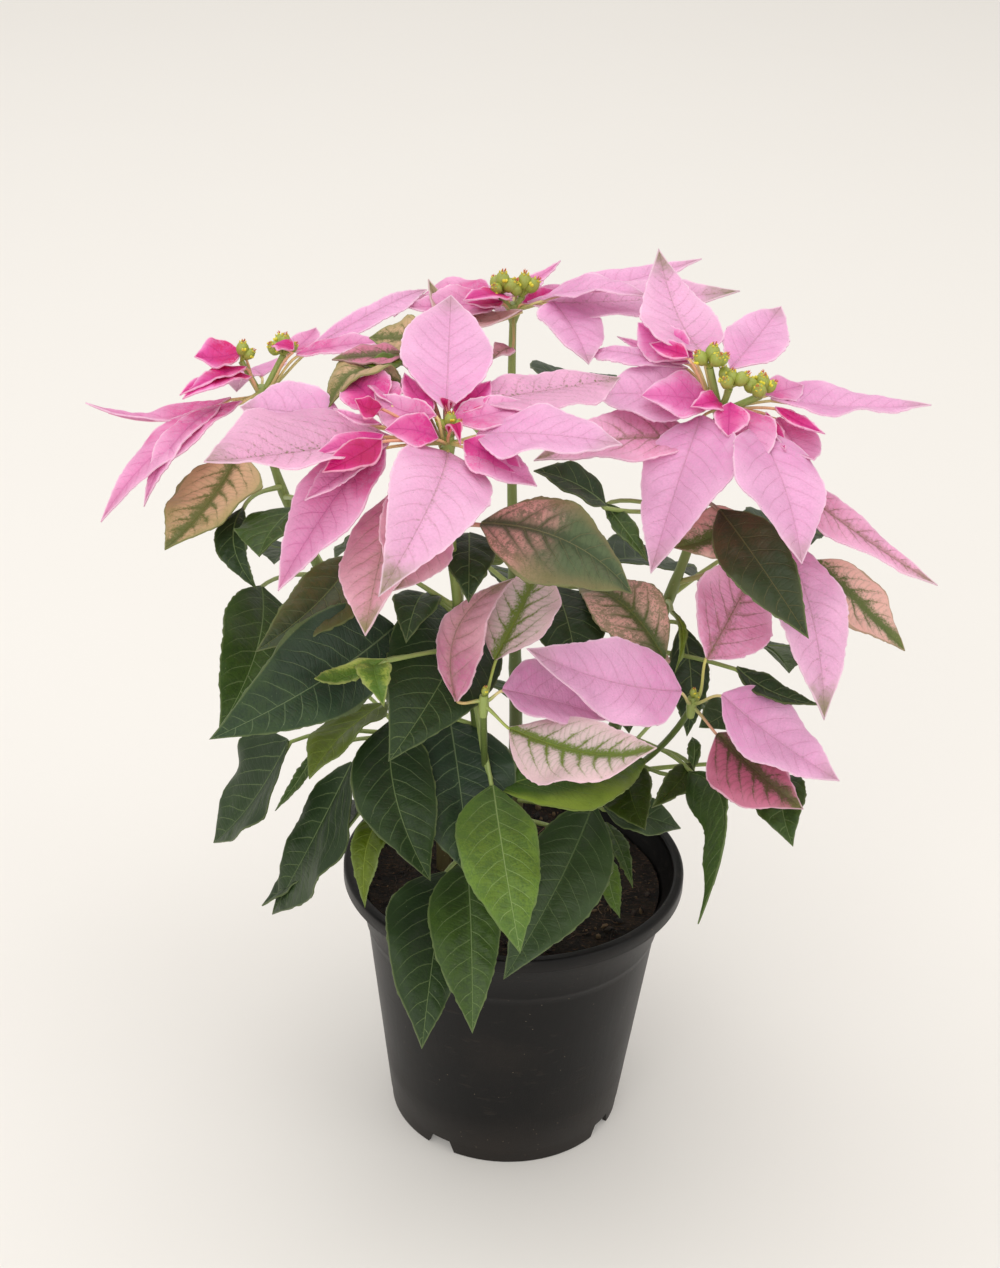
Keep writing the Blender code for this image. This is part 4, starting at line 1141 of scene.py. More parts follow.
def stalk_line(blade, start, outwards, radius, root_tone):
    """A blade's stalk from inside its stem, and the rib that it becomes under the blade."""
    along, across, face = blade_axes(blade)
    foot = Vector(blade.foot)
    petiole = tone(*LOOKS[blade.look].petiole)
    body = tone(*LOOKS[blade.look].body)
    span = (foot - start).length
    straight = (foot - start).normalized()
    leaving = (outwards * 0.5 + straight).normalized()
    arriving = (along * 0.5 + straight).normalized()
    start_handle = start + leaving * span * STALK_HANDLE
    end_handle = foot - arriving * span * STALK_HANDLE
    line = []
    for station in range(STALK_STATIONS + 1):
        place = station / STALK_STATIONS
        point = bezier(start, start_handle, end_handle, foot, place)
        colour = mixed(root_tone, petiole, min(place * 1.5, 1.0))
        thick = radius * (STALK_ROOT - STALK_THINNING * min(place * 2.0, 1.0))
        line.append((point - face * ((BLADE_THICKNESS + thick * STALK_SINK) * place), thick, colour))
    rib_radius = radius * RIB_SHARE
    for station in range(1, RIB_STATIONS + 1):
        place = RIB_REACH * station / RIB_STATIONS
        point = foot + along * (blade.length * place)
        point += (face * blade.arch + across * blade.bow) * (4 * place * (1 - place))
        thick = rib_radius + (RIB_TIP_RADIUS - rib_radius) * station / RIB_STATIONS
        colour = mixed(petiole, body, min(place * 1.6, 0.8))
        line.append((point - face * (BLADE_THICKNESS + thick * RIB_SINK), thick, colour))
    return line


def grow_lines(name, lines, tree, material):
    """Round stalks along lines of points, each with its own radius and colour."""
    points = []
    edges = []
    for line in lines:
        edges += [(len(points) + place, len(points) + place + 1) for place in range(len(line) - 1)]
        points += line
    built = add_object(name, [point for point, _, _ in points], edges)
    carry(built, "thickness", [radius for _, radius, _ in points], "FLOAT")
    carry(built, "body", [colour for _, _, colour in points], "FLOAT_COLOR")
    built.data.materials.append(material)
    grow(built, tree, Sides=TUBE_SIDES, Material=material)
    return settle(built)


def build_stems(name, tree, material):
    """A rooted stem with its side shoots, and the stalk and rib of each of its leaves."""
    path = stem_path(STEMS[name])
    starts = [stalk_start(blade, path) for blade in LEAVES[name]]
    lines = [stem_line(path, STEM_FOOT_RADIUS, STEM_TIP_RADIUS, starts)]
    for shoot in SHOOTS.values():
        if shoot.stem == name:
            lines.append(stem_line(shoot_path(shoot), SHOOT_RADIUS, SHOOT_RADIUS, []))
    for blade, start in zip(LEAVES[name], starts):
        outwards = (Vector(blade.foot) - start).normalized()
        outwards = (outwards + Vector((0, 0, STALK_UPTURN))).normalized()
        lines.append(stalk_line(blade, start, outwards, LEAF_STALK_RADIUS, YOUNG_STEM))
    return grow_lines("stems_" + name, lines, tree, material)


def lathe(work, profile, sides, colour, ribs=0.0):
    """Turns an outline of (height, radius) about the z axis into closed skin, ribbed if asked."""
    layer = work.verts.layers.float_color["body"]
    rings = []
    for height, radius in profile:
        ring = []
        for step in range(sides):
            angle = 2 * pi * step / sides
            wide = radius * (1.0 + ribs * cos(CUP_RIBS * angle))
            vertex = work.verts.new((wide * cos(angle), wide * sin(angle), height))
            vertex[layer] = colour
            ring.append(vertex)
        rings.append(ring)
    for low, high in zip(rings, rings[1:]):
        for step in range(sides):
            after = (step + 1) % sides
            work.faces.new((low[step], low[after], high[after], high[step]))
    work.faces.new(tuple(reversed(rings[0])))
    work.faces.new(tuple(rings[-1]))


def blob(work, place, size, turn, colour):
    """A small rounded lump."""
    layer = work.verts.layers.float_color["body"]
    spin = Matrix.LocRotScale(Vector(place), Euler(turn), Vector(size))
    made = bmesh.ops.create_icosphere(work, subdivisions=1, radius=1.0, matrix=spin)
    for vertex in made["verts"]:
        vertex[layer] = colour


def mesh_object(name, work):
    """An object from a finished bmesh."""
    built = add_object(name, [])
    work.to_mesh(built.data)
    work.free()
    return built


def cyathium(name, cup_tone, lip_tone, seed):
    """One cyathium: a ribbed green cup on its stalk, with a two-lipped gland, fringed lobes and stamens."""
    draw = random.Random(seed)
    work = bmesh.new()
    work.verts.layers.float_color.new("body")
    mouth = BUD_STALK + BUD_LENGTH
    stalk = zip((-BUD_ROOT, BUD_STALK * 0.6, BUD_STALK), BUD_STALK_RADII)
    lathe(work, stalk, BUD_STALK_SIDES, cup_tone)
    profile = [(BUD_STALK + BUD_LENGTH * place, BUD_RADIUS * part) for place, part in CUP_OUTLINE]
    lathe(work, profile, CUP_SIDES, cup_tone, CUP_RIB_DEPTH)
    for lip in (-1, 1):
        place = (BUD_RADIUS * 1.05, lip * LIP_SPACING, BUD_STALK + BUD_LENGTH * LIP_PLACE)
        blob(work, place, LIP_SIZE, (0.0, 0.5, lip * 0.5), lip_tone)
    for lobe in range(CUP_RIBS):
        angle = 2 * pi * (lobe + 0.5) / CUP_RIBS
        place = (BUD_RADIUS * 0.5 * cos(angle), BUD_RADIUS * 0.5 * sin(angle), mouth)
        blob(work, place, LOBE_SIZE, (0.0, 0.3, angle), LOBE_TONE)
    for stamen in range(STAMENS):
        angle = draw.uniform(0, 2 * pi)
        reach = draw.uniform(0.1, 0.65)
        place = (reach * cos(angle), reach * sin(angle), mouth + draw.uniform(0.4, 1.1))
        blob(work, place, STAMEN_SIZE, (0.0, reach * 0.5, angle), STAMEN_TONE)
    bmesh.ops.recalc_face_normals(work, faces=work.faces)
    return mesh_object(name, work)


def build_head(name, clusters, tree, model, material):
    """The cyathia of a bloom: one point each, turned the way it leans."""
    draw = random.Random(HEAD_SEED)
    places = []
    turns = []
    sizes = []
    for place, count, scale in clusters:
        for bud in range(count):
            lean = radians(BUD_LEAN) * draw.uniform(*BUD_LEANS) if bud else MIDDLE_LEAN
            turn = 2 * pi * bud / max(count - 1, 1) + draw.uniform(-BUD_TURN, BUD_TURN)
            direction = Vector((sin(lean) * cos(turn), sin(lean) * sin(turn), cos(lean)))
            spin = direction.to_track_quat("Z", "Y") @ Quaternion((0, 0, 1), draw.uniform(0, 2 * pi))
            places.append(place)
            turns.append(tuple(spin.to_euler()))
            sizes.append((scale * draw.uniform(*BUD_SIZES),) * 3)
    built = add_object(name, places)
    carry(built, "turn", turns)
    carry(built, "size", sizes)
    built.data.materials.append(material)
    grow(built, tree, Copy=model, Material=material)
    return settle(built)


def build_collar(name, centre, tree, material):
    """The collar where the bracts leave a bloom, its branches, and the stalk and rib of each bract."""
    centre = Vector(centre)
    low = centre - Vector((0, 0, COLLAR_HEIGHT / 2))
    high = centre + Vector((0, 0, COLLAR_HEIGHT / 2))
    girth = COLLAR_RADIUS * (COLLAR_LEAST + (1.0 - COLLAR_LEAST) * HEADS[name][0][2])
    lines = [[
        (low, STEM_TIP_RADIUS, YOUNG_STEM),
        (centre, girth, YOUNG_STEM),
        (high, girth * COLLAR_TOP, YOUNG_STEM),
    ]]
    for place, _, scale in HEADS[name]:
        end = Vector(place)
        steps = [centre.lerp(end, step / BRANCH_STEPS) for step in range(BRANCH_STEPS + 1)]
        lines.append([(point, BRANCH_RADIUS * scale, YOUNG_STEM) for point in steps])
    for blade in BRACTS[name]:
        outwards = Vector(blade.foot) - centre
        lift = min(max(outwards.z, 0), COLLAR_HEIGHT / 4)
        outwards.z = 0
        outwards.normalize()
        start = centre + outwards * (COLLAR_RADIUS / 2) + Vector((0, 0, lift))
        lines.append(stalk_line(blade, start, outwards, BRACT_STALK_RADIUS, YOUNG_STEM))
    return grow_lines("collar_" + name, lines, tree, material)


def body_radius(height):
    """The pot's outer radius under its lip, without the step on the lower wall."""
    return BASE_RADIUS + (BODY_TOP_RADIUS - BASE_RADIUS) * height / (POT_HEIGHT - RIM_HEIGHT)


def bore_radius(height):
    """The pot's inner radius below its lip."""
    return body_radius(height) - STEP_DEPTH - WALL


def quarter_round(radius, height, rounding, start):
    """Points round a quarter circle about a middle, from a start angle in degrees."""
    steps = 5
    return [
        (
            radius + rounding * cos(radians(start + 90 * step / steps)),
            height + rounding * sin(radians(start + 90 * step / steps)),
        )
        for step in range(steps + 1)
    ]


def pot_profile():
    """Half of the pot's section: foot ring, wall with its step, lip turned down outside, and floor."""
    lip_bottom = POT_HEIGHT - RIM_HEIGHT
    shoulder = POT_HEIGHT - SHOULDER_DEPTH
    inner = RIM_RADIUS - RIM_WIDTH
    floor_top = FOOT_RING_HEIGHT + FLOOR
    step_top = STEP_HEIGHT + STEP_SLOPE
    lower_top = body_radius(STEP_HEIGHT) - STEP_DEPTH
    profile = [
        (BASE_RADIUS - FOOT_RING_SLOPE, 0.0),
        (BASE_RADIUS, FOOT_RING_SLOPE),
        (BASE_RADIUS + FOOT_RING_SLOPE, FOOT_RING_HEIGHT - FOOT_RING_SLOPE),
        (body_radius(FOOT_RING_HEIGHT), FOOT_RING_HEIGHT),
    ]
    for share in WALL_RINGS:
        low = body_radius(FOOT_RING_HEIGHT)
        height = FOOT_RING_HEIGHT + (STEP_HEIGHT - FOOT_RING_HEIGHT) * share
        profile.append((low + (lower_top - low) * share, height))
    profile += [
        (lower_top, STEP_HEIGHT),
        (body_radius(step_top), step_top),
        (body_radius(step_top + STEP_SLOPE), step_top + STEP_SLOPE),
        (BODY_TOP_RADIUS, lip_bottom - RIM_ROUNDING),
        (inner + WALL, shoulder),
        (inner + WALL, POT_HEIGHT - WALL),
        (RIM_RADIUS - WALL, POT_HEIGHT - WALL),
        (RIM_RADIUS - WALL, lip_bottom),
        (RIM_RADIUS - WALL / 4, lip_bottom),
        (RIM_RADIUS, lip_bottom + WALL / 4),
    ]
    profile += quarter_round(RIM_RADIUS - RIM_ROUNDING, POT_HEIGHT - RIM_ROUNDING, RIM_ROUNDING, 0)
    profile += quarter_round(inner + RIM_ROUNDING, POT_HEIGHT - RIM_ROUNDING, RIM_ROUNDING, 90)
    profile += [
        (inner, shoulder + RIM_ROUNDING),
        (BODY_TOP_RADIUS - WALL, lip_bottom - RIM_ROUNDING),
        (bore_radius(floor_top), floor_top),
        (0.0, floor_top),
        (0.0, FOOT_RING_HEIGHT),
        (BASE_RADIUS - FOOT_RING_WIDTH, FOOT_RING_HEIGHT),
        (BASE_RADIUS - FOOT_RING_WIDTH, 0.0),
    ]
    return profile


def turned(name, profile, sides):
    """A solid turned about the z axis from a closed (radius, height) outline; a radius of 0 is on it."""
    points = []
    first = []
    for radius, height in profile:
        first.append(len(points))
        steps = 1 if radius == 0 else sides
        for step in range(steps):
            angle = 2 * pi * step / sides
            points.append((radius * cos(angle), radius * sin(angle), height))
    faces = []
    for place, (radius, _) in enumerate(profile):
        after = (place + 1) % len(profile)
        next_radius = profile[after][0]
        if radius == 0 and next_radius == 0:
            continue
        for step in range(sides):
            turn = (step + 1) % sides
            near = [first[place]] if radius == 0 else [first[place] + step, first[place] + turn]
            far = [first[after]] if next_radius == 0 else [first[after] + turn, first[after] + step]
            faces.append(tuple(near + far))
    built = add_object(name, points, faces=faces)
    face_outwards(built)
    return built


def face_outwards(built):
    work = bmesh.new()
    work.from_mesh(built.data)
    bmesh.ops.recalc_face_normals(work, faces=work.faces)
    work.to_mesh(built.data)
    work.free()


def prism(name, rings):
    """A closed solid between two rings of as many points each."""
    count = len(rings[0])
    points = [point for ring in rings for point in ring]
    faces = [tuple(reversed(range(count))), tuple(range(count, 2 * count))]
    for side in range(count):
        after = (side + 1) % count
        faces.append((side, after, count + after, count + side))
    built = add_object(name, points, faces=faces)
    face_outwards(built)
    return built


def notch_cutter(azimuth):
    """A block that cuts one water notch, wider at its foot, through the foot ring."""
    angle = radians(azimuth)
    rings = []
    for reach in (BASE_RADIUS - NOTCH_REACH, BASE_RADIUS + NOTCH_REACH):
        ring = []
        for across, height in (
            (-NOTCH_BOTTOM_WIDTH / 2, -CUT_PAST),
            (NOTCH_BOTTOM_WIDTH / 2, -CUT_PAST),
            (NOTCH_TOP_WIDTH / 2, NOTCH_HEIGHT),
            (-NOTCH_TOP_WIDTH / 2, NOTCH_HEIGHT),
        ):
            x = reach * cos(angle) - across * sin(angle)
            y = reach * sin(angle) + across * cos(angle)
            ring.append((x, y, height))
        rings.append(ring)
    return prism("notch", rings)


def drain_cutter(azimuth):
    """A round cutter for one drain hole in the floor."""
    x = DRAIN_CIRCLE * cos(radians(azimuth))
    y = DRAIN_CIRCLE * sin(radians(azimuth))
    rings = []
    for height in (FOOT_RING_HEIGHT - CUT_PAST, FOOT_RING_HEIGHT + FLOOR + CUT_PAST):
        rings.append([
            (
                x + DRAIN_RADIUS * cos(2 * pi * step / DRAIN_SIDES),
                y + DRAIN_RADIUS * sin(2 * pi * step / DRAIN_SIDES),
                height,
            )
            for step in range(DRAIN_SIDES)
        ])
    return prism("drain", rings)


def build_pot(material):
    pot = turned("nursery_pot", pot_profile(), POT_SIDES)
    cutters = [notch_cutter(azimuth) for azimuth in NOTCH_AZIMUTHS]
    cutters += [drain_cutter(azimuth) for azimuth in NOTCH_AZIMUTHS]
    group = bpy.data.collections.new("cutters")
    bpy.context.scene.collection.children.link(group)
    for cutter in cutters:
        group.objects.link(cutter)
    modifier = pot.modifiers.new("cuts", "BOOLEAN")
    modifier.operation = "DIFFERENCE"
    modifier.operand_type = "COLLECTION"
    modifier.collection = group
    modifier.solver = "EXACT"
    settle(pot)
    for cutter in cutters:
        bpy.data.objects.remove(cutter)
    bpy.data.collections.remove(group)
    give_materials(pot, material)
    return pot


def soil_height(x, y):
    """The lumpy level of the peat."""
    height = SOIL_LEVEL
    for spacing, share in SOIL_LUMPS:
        height += noise.noise(Vector((x / spacing, y / spacing, SOIL_SEED))) * SOIL_BUMP * share
    return height


def build_peat(material):
    """The body of peat, with a rough top that reaches the pot's wall."""
    bottom = FOOT_RING_HEIGHT + FLOOR + SOIL_GAP
    edge = bore_radius(SOIL_LEVEL) - SOIL_GAP
    profile = [(0.0, bottom), (bore_radius(bottom) - SOIL_GAP, bottom)]
    profile += [(edge * ring / SOIL_RINGS, SOIL_LEVEL) for ring in range(SOIL_RINGS, 0, -1)]
    profile.append((0.0, SOIL_LEVEL))
    peat = turned("peat_body", profile, SOIL_SECTORS)
    for vertex in peat.data.vertices:
        if vertex.co.z > SOIL_LEVEL - SOIL_GAP:
            vertex.co.z = soil_height(vertex.co.x, vertex.co.y)
    peat.data.materials.append(material)
    return peat


def lump(name, seed):
    """A crumb of peat of a few dozen faces."""
    work = bmesh.new()
    bmesh.ops.create_icosphere(work, subdivisions=1, radius=1.0)
    for vertex in work.verts:
        place = vertex.co * CRUMB_LUMPS + Vector((seed, 0, 0))
        vertex.co *= 1.0 + CRUMB_ROUGHNESS * noise.noise(place)
    return mesh_object(name, work)


def random_spot(draw, margin):
    """An even random place on the soil, as its distance from the middle and its angle."""
    radius = (bore_radius(SOIL_LEVEL) - margin) * draw.random() ** 0.5
    angle = draw.uniform(0, 2 * pi)
    return radius, angle


def build_crumbs(tree, model, material):
    """Crumbs of peat and a few pale grains, one point each, over the top of the soil."""
    draw = random.Random(SOIL_SEED)
    places = []
    turns = []
    sizes = []
    tones = []
    for crumb in range(CRUMBS):
        radius, angle = random_spot(draw, CRUMB_MARGIN)
        x = radius * cos(angle)
        y = radius * sin(angle)
        size = CRUMB_SIZE + CRUMB_RANGE * draw.random() ** 3
        places.append((x, y, soil_height(x, y) + size * 0.2))
        turns.append([draw.uniform(0, 2 * pi) for _ in range(3)])
        sizes.append((size, size * draw.uniform(0.5, 1.0), size * draw.uniform(0.4, 0.8)))
        tones.append(draw.choice(CRUMB_TONES))
    built = add_object("crumbs", places)
    carry(built, "turn", turns)
    carry(built, "size", sizes)
    carry(built, "body", tones, "FLOAT_COLOR")
    built.data.materials.append(material)
    grow(built, tree, Copy=model, Material=material)
    return settle(built)


def build_fibres(tree, material):
    """Short roots and peat fibres that lie over the soil."""
    draw = random.Random(SOIL_SEED + 1)
    lines = []
    for fibre in range(FIBRES):
        radius, angle = random_spot(draw, FIBRE_MARGIN)
        heading = draw.uniform(0, 2 * pi)
        x = radius * cos(angle)
        y = radius * sin(angle)
        colour = draw.choice(FIBRE_TONES)
        thick = draw.uniform(*FIBRE_RADII)
        line = []
        for step in range(FIBRE_STEPS + 1):
            lift = FIBRE_LIFT + FIBRE_ARCH * sin(pi * step / FIBRE_STEPS) * draw.random()
            line.append((Vector((x, y, soil_height(x, y) + lift)), thick, colour))
            heading += draw.uniform(-FIBRE_TURN, FIBRE_TURN)
            x += FIBRE_STEP * cos(heading)
            y += FIBRE_STEP * sin(heading)
        lines.append(line)
    return grow_lines("fibres", lines, tree, material)


def new_material(name):
    """A material with an empty tree: its maker and its surface socket."""
    material = bpy.data.materials.new(name)
    material.use_nodes = True
    material.node_tree.nodes.clear()
    make = Maker(material.node_tree)
    output = make.node("ShaderNodeOutputMaterial")
    return material, make, output.inputs["Surface"]


def own(make, name, output="Vector"):
    """An attribute that the mesh carries."""
    built = make.node("ShaderNodeAttribute", attribute_name=name)
    return Value(make, built.outputs[output])


def object_place(make):
    return Value(make, make.node("ShaderNodeTexCoord").outputs["Object"])


def stretched(make, spot, factors):
    """A place on the object, closer or wider along x, y and z, so that a pattern is drawn out."""
    return make.vector("MULTIPLY", spot, factors)


def bumped(make, height, strength, distance):
    built = make.node("ShaderNodeBump", {"Height": height, "Strength": strength, "Distance": distance})
    return Value(make, built.outputs["Normal"])


def coat(make, colour, rough, **more):
    """A plain reflecting skin. Further inputs are given by their names with underscores."""
    inputs = {name.replace("_", " "): value for name, value in more.items()}
    built = make.node("ShaderNodeBsdfPrincipled", {"Base Color": colour, "Roughness": rough, **inputs})
    return Value(make, built.outputs[0])


def from_whole(make, value):
    """How far a number is from the nearest whole one."""
    return 0.5 - make.sum("ABSOLUTE", make.sum("FRACT", value) - 0.5)


def vein_pattern(make, way, side, along_mm, out_mm, broad, uneven):
    """The vein lines and the fine net between them, from 0 to 1, and the distance from a side vein."""
    out = make.sum("ABSOLUTE", side)
    left = make.sum("GREATER_THAN", side, 0.0)
    vein = vein_count(along_mm, out, out_mm) + left * 0.4 + (broad - 0.5) * 0.55 + (uneven - 0.5) * 0.14
    from_vein = from_whole(make, vein + 20.0) * VEIN_SPACING * 0.75
    branch = vein * 3.0 + out_mm * 0.5 + (uneven - 0.5) * 0.8
    from_branch = from_whole(make, branch + 40.0) * 2.0
    fade = 1.0 - make.rise(out, 0.55, 1.0)
    taper = 1.0 - way * 0.75
    midrib = 1.0 - make.rise(out_mm, taper * MIDRIB_CORE, taper * MIDRIB_RIM)
    lateral = (1.0 - make.rise(from_vein, LATERAL_CORE, LATERAL_RIM)) * fade
    net = (1.0 - make.rise(from_branch, 0.05, 0.5)) * fade
    lines = make.sum("MAXIMUM", midrib, lateral * LATERAL_SHARE)
    return lines, net, from_vein, fade


def blade_colour(make, skin, way, side, half, out_mm, clouds, veins):
    """A blade's colour: body, rim, patch, stains along the veins, specks, a green tip and a pale edge."""
    broad, uneven, fine = clouds
    lines, net, from_vein, fade = veins
    spot = object_place(make)
    out = make.sum("ABSOLUTE", side)
    reach, stain_share, line_share = make.parts(own(make, "stain"))
    speckle, tip_share, edge_share = make.parts(own(make, "marks"))
    patch_share, patch_place, patch_spread = make.parts(own(make, "patch"))
    rim_tone = own(make, "rim_tone", "Color")
    stain_tone = own(make, "stain_tone", "Color")

    towards_edge = edge_share * make.rise(out + (broad - 0.5) * 0.5, 0.45, 1.0)
    colour = make.blend(towards_edge, own(make, "body", "Color"), rim_tone)
    patch_gap = make.sum("ABSOLUTE", way - patch_place + (broad - 0.5) * 0.5) / patch_spread
    patch = patch_share * (1.0 - make.rise(patch_gap, 0.35, 1.0))
    patch = patch * (0.35 + 0.65 * make.rise(uneven + (fine - 0.5) * 0.8, 0.34, 0.62))
    colour = make.blend(patch, colour, own(make, "patch_tone", "Color"))

    wander = 0.55 + uneven * 0.9
    near_vein = make.sum("MINIMUM", from_vein + out * reach * 1.5, out_mm * 0.5)
    bleed = make.sum("EXPONENT", 0.0 - (near_vein / (reach * wander)) ** 1.6)
    bleed = make.rise(bleed + (fine - 0.5) * 1.1 + (uneven - 0.5) * 0.5, 0.12, 0.85)
    colour = make.blend(bleed * stain_share, colour, stain_tone)
    colour = make.blend(net * 0.22 * stain_share, colour, stain_tone)
    colour = make.blend(lines * line_share, colour, own(make, "vein_tone", "Color"))

    flecks = make.rise(make.clouds(spot, FLECK_CLOUDS, 1.0), 0.56, 0.64)
    by_midrib = make.sum("EXPONENT", 0.0 - out_mm / 2.2)
    by_vein = make.sum("EXPONENT", 0.0 - from_vein / 0.7)
    colour = make.blend(flecks * (by_midrib + 0.5 * by_vein * fade) * speckle, colour, FLECK_TONE)
    tip = make.rise(way + (uneven - 0.5) * 0.2 + (fine - 0.5) * 0.1, TIP_START, 1.0) * tip_share
    colour = make.blend(tip * 0.8, colour, TIP_TONE)
    margin = 1.0 - make.rise(half - out_mm, 0.15, 0.75)
    colour = make.blend(margin * 0.8, colour, make.blend(0.6, rim_tone, skin.rim))
    colour = make.scaled(colour, 0.77 + broad * 0.2 + fine * 0.26)
    specks = make.rise(make.cells(spot, SPECK_CELLS), 0.09, 0.04)
    return make.blend(specks * 0.35, colour, skin.specks)


def blade_material(name, skin, underside):
    """The skin of a blade: its colour, sunk or raised veins, and light that comes through it."""
    material, make, surface = new_material(name)
    way, side, _ = make.parts(own(make, "place"))
    along_mm, across_mm, half = make.parts(own(make, "flat"))
    out_mm = make.sum("ABSOLUTE", across_mm)
    spot = object_place(make)
    broad = make.clouds(spot, BROAD_CLOUDS, 2.0)
    uneven = make.clouds(spot, UNEVEN_CLOUDS, 3.0)
    fine = make.clouds(spot, FINE_CLOUDS, 2.0)
    veins = vein_pattern(make, way, side, along_mm, out_mm, broad, uneven)
    lines, net, _, _ = veins
    colour = blade_colour(make, skin, way, side, half, out_mm, (broad, uneven, fine), veins)
    gloss = skin.gloss
    height = (1.0 - lines * 0.9) + net * -0.25 + fine * 0.35 + uneven * 0.4
    if underside:
        gloss = UNDER_GLOSS
        colour = make.blend(0.35, colour, skin.under)
        height = lines * 1.0 + net * 0.3 + fine * 0.3
    normal = bumped(make, height, *BLADE_BUMP)
    rough = gloss + (uneven - 0.5) * 0.16 + lines * 0.08
    upper = coat(make, colour, rough, Normal=normal, Specular_IOR_Level=skin.shine)
    through = make.node("ShaderNodeBsdfTranslucent", {"Color": colour, "Normal": normal})
    both = make.node("ShaderNodeMixShader", {0: skin.glow, 1: upper, 2: Value(make, through.outputs[0])})
    make.wire(Value(make, both.outputs[0]), surface)
    return material


def stalk_material(name, gloss):
    """Skin of stems, stalks and flower cups, in the colour that the mesh carries, streaked and dotted."""
    material, make, surface = new_material(name)
    spot = object_place(make)
    streaks = make.clouds(stretched(make, spot, ALONG_STALK), STALK_STREAKS, 3.0)
    broad = make.clouds(spot, STALK_CLOUDS, 2.0)
    colour = make.scaled(own(make, "body", "Color"), 0.72 + streaks * 0.35 + broad * 0.22)
    dots = make.rise(make.cells(spot, STALK_DOTS), 0.16, 0.08)
    colour = make.blend(dots * 0.3, colour, STALK_DOT_TONE)
    normal = bumped(make, streaks + broad * 0.5 + dots, *STALK_BUMP)
    make.wire(coat(make, colour, gloss + (broad - 0.5) * 0.2, Normal=normal), surface)
    return material


def plastic_material():
    """Thin black nursery plastic: satin, with fine moulding streaks, scuffs and dried dust."""
    material, make, surface = new_material("pot_plastic")
    spot = object_place(make)
    _, _, height = make.parts(spot)
    streaks = make.clouds(stretched(make, spot, DOWN_WALL), PLASTIC_STREAKS, 3.0)
    cloud = make.clouds(spot, PLASTIC_CLOUDS, 4.0)
    grain = make.clouds(spot, PLASTIC_GRAIN, 2.0)
    scuffs = make.rise(make.clouds(stretched(make, spot, ROUND_WALL), SCUFFS, 4.0), 0.6, 0.74)
    dust = make.rise(cloud, 0.45, 0.8) * 0.08 + scuffs * 0.08 + make.rise(height, DUSTY_FOOT, 0.0) * 0.12
    colour = make.blend(streaks * 0.5, *PLASTIC_TONES)
    colour = make.blend(dust, colour, DUST_TONE)
    specks = make.rise(make.cells(spot, SPLASHES), 0.06, 0.03)
    colour = make.blend(specks * 0.5, colour, SPLASH_TONE)
    normal = bumped(make, streaks * 0.6 + grain * 0.5 + scuffs * 0.4, *PLASTIC_BUMP)
    rough = 0.34 + cloud * 0.12 + dust * 0.6
    make.wire(coat(make, colour, rough, Normal=normal, Specular_IOR_Level=0.2), surface)
    return material


def peat_material():
    """Dark moist peat: near black, with brown shreds and small pale grains."""
    material, make, surface = new_material("moist_peat")
    spot = object_place(make)
    lumps = make.clouds(spot, PEAT_LUMPS, 6.0)
    shreds = make.clouds(stretched(make, spot, ALONG_SHREDS), PEAT_SHREDS, 4.0)
    grains = make.cells(spot, PEAT_GRAINS)
    colour = make.blend(make.rise(lumps, 0.35, 0.7), *PEAT_TONES)
    colour = make.blend(make.rise(shreds, 0.55, 0.72) * 0.7, colour, SHRED_TONE)
    colour = make.blend(make.rise(grains, 0.14, 0.05) * 0.5, colour, GRAIN_TONE)
    normal = bumped(make, lumps + shreds * 0.6 - grains * 0.5, *PEAT_BUMP)
    make.wire(coat(make, colour, 0.82 + lumps * 0.15, Normal=normal, Specular_IOR_Level=0.25), surface)
    return material


def floor_material():
    """A plain cream studio floor."""
    material, make, surface = new_material("studio_floor")
    colour = make.blend(make.clouds(object_place(make), FLOOR_CLOUDS, 2.0) * 0.3, FLOOR_TONE, FLOOR_SHADE)
    skin = coat(make, colour, 0.9, Emission_Color=FLOOR_TONE, Emission_Strength=FLOOR_GLOW)
    make.wire(skin, surface)
    return material


def build_floor():
    size = FLOOR_SIZE
    corners = ((-size, -size, 0.0), (size, -size, 0.0), (size, size, 0.0), (-size, size, 0.0))
    floor = add_object("studio_floor", corners, faces=((0, 1, 2, 3),))
    floor.data.materials.append(floor_material())


def add_light(name, place, size, power):
    """A square soft light that faces the plant."""
    lamp = bpy.data.lights.new(name, "AREA")
    lamp.shape = "SQUARE"
    lamp.size = size
    lamp.energy = power
    built = bpy.data.objects.new(name, lamp)
    built.location = place
    built.rotation_euler = (Vector(LIGHT_AIM) - Vector(place)).to_track_quat("-Z", "Y").to_euler()
    bpy.context.scene.collection.objects.link(built)


def set_light():
    """A bright even studio: a pale sky, one large soft light overhead and a fill beside the camera."""
    world = bpy.data.worlds.new("studio")
    world.use_nodes = True
    sky = world.node_tree.nodes["Background"]
    sky.inputs["Color"].default_value = SKY_TONE
    sky.inputs["Strength"].default_value = SKY_STRENGTH
    scene = bpy.context.scene
    scene.world = world
    scene.view_settings.view_transform = "Standard"
    for name, place, size, power in LIGHTS:
        add_light(name, place, size, power)


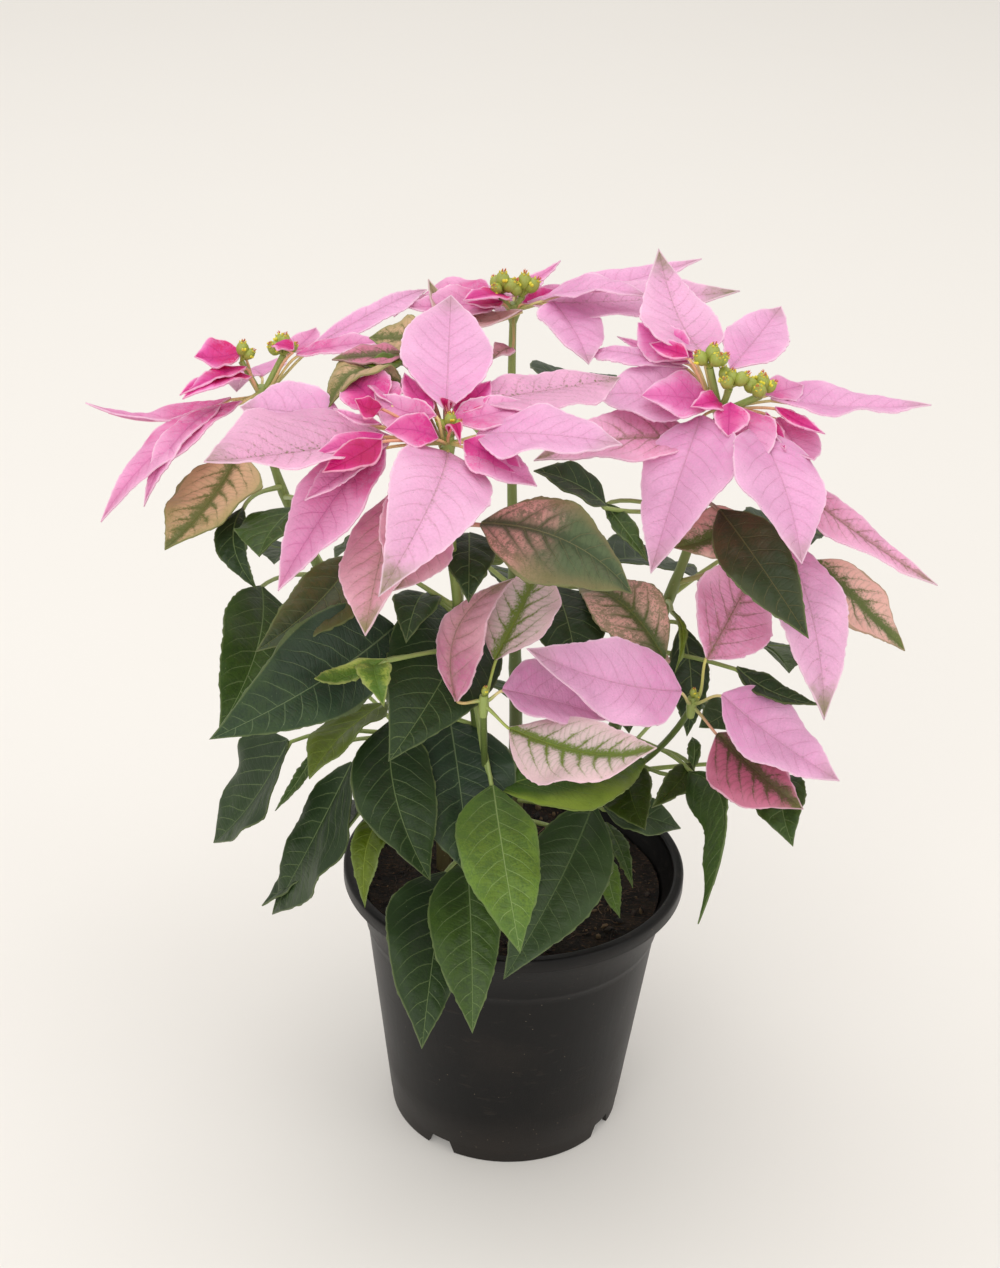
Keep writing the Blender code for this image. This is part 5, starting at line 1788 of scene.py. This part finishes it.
def set_camera():
    """The photograph's own view."""
    pitch = radians(CAMERA_PITCH)
    roll = radians(CAMERA_ROLL)
    forward = Vector((0.0, cos(pitch), -sin(pitch)))
    up = Vector((0.0, sin(pitch), cos(pitch)))
    right = Vector((1.0, 0.0, 0.0))
    turned_right = right * cos(roll) + up * sin(roll)
    turned_up = up * cos(roll) - right * sin(roll)
    data = bpy.data.cameras.new("photo_camera")
    data.lens = CAMERA_LENS
    data.sensor_width = CAMERA_SENSOR
    camera = bpy.data.objects.new("photo_camera", data)
    turn = Matrix((turned_right, turned_up, -forward)).transposed().to_4x4()
    place = (Vector(CAMERA_PLACE) + Vector(POT_PLACE)) * METRES_PER_MM
    camera.matrix_world = Matrix.Translation(place) @ turn
    bpy.context.scene.collection.objects.link(camera)
    bpy.context.scene.camera = camera


def build_plant():
    """Stems, leaves, bracts and cyathia."""
    blades = blade_tree()
    lines = line_tree()
    copies = scatter_tree()
    leaf_skins, bract_skins = [
        (blade_material(kind + "_upper", skin, False), blade_material(kind + "_under", skin, True))
        for kind, skin in (("leaf", LEAF_SKIN), ("bract", BRACT_SKIN))
    ]
    stalk_skin = stalk_material("stalk_skin", STALK_GLOSS)
    cup_skin = stalk_material("cup_skin", CUP_GLOSS)
    for number, name in enumerate(STEMS):
        node = "leafy_stem_" + name
        stems = build_stems(name, lines, stalk_skin)
        keep_piece(stems, "leaf_green", node)
        leaves = grow_blades("leaves_" + name, LEAVES[name], blades, *leaf_skins, LEAF_SEED + number)
        keep_piece(leaves, "leaf_green", node)
    model = cyathium("cyathium", CUP_TONE, GLAND_TONE, BUD_SEED)
    for number, (name, carrier) in enumerate((STEMS | SHOOTS).items()):
        node = "bloom_" + name
        bracts = grow_blades("bracts_" + name, BRACTS[name], blades, *bract_skins, BRACT_SEED + number)
        keep_piece(bracts, "bract_pink", node)
        collar = build_collar(name, carrier.bloom, lines, stalk_skin)
        keep_piece(collar, "bract_pink", node)
        head = build_head("cyathia_" + name, HEADS[name], copies, model, cup_skin)
        keep_piece(head, "bract_pink", node)
    bpy.data.objects.remove(model)


def build_potting():
    """The pot and what fills it."""
    keep_piece(build_pot(plastic_material()), "black_plastic", "pot")
    keep_piece(build_peat(peat_material()), "peat", "soil")
    grit = stalk_material("grit", GRIT_GLOSS)
    model = lump("lump", SOIL_SEED)
    crumbs = build_crumbs(scatter_tree(), model, grit)
    bpy.data.objects.remove(model)
    keep_piece(crumbs, "peat", "soil")
    keep_piece(build_fibres(line_tree(), grit), "peat", "soil")


def main():
    build_potting()
    build_plant()
    build_floor()
    set_light()
    set_camera()


main()
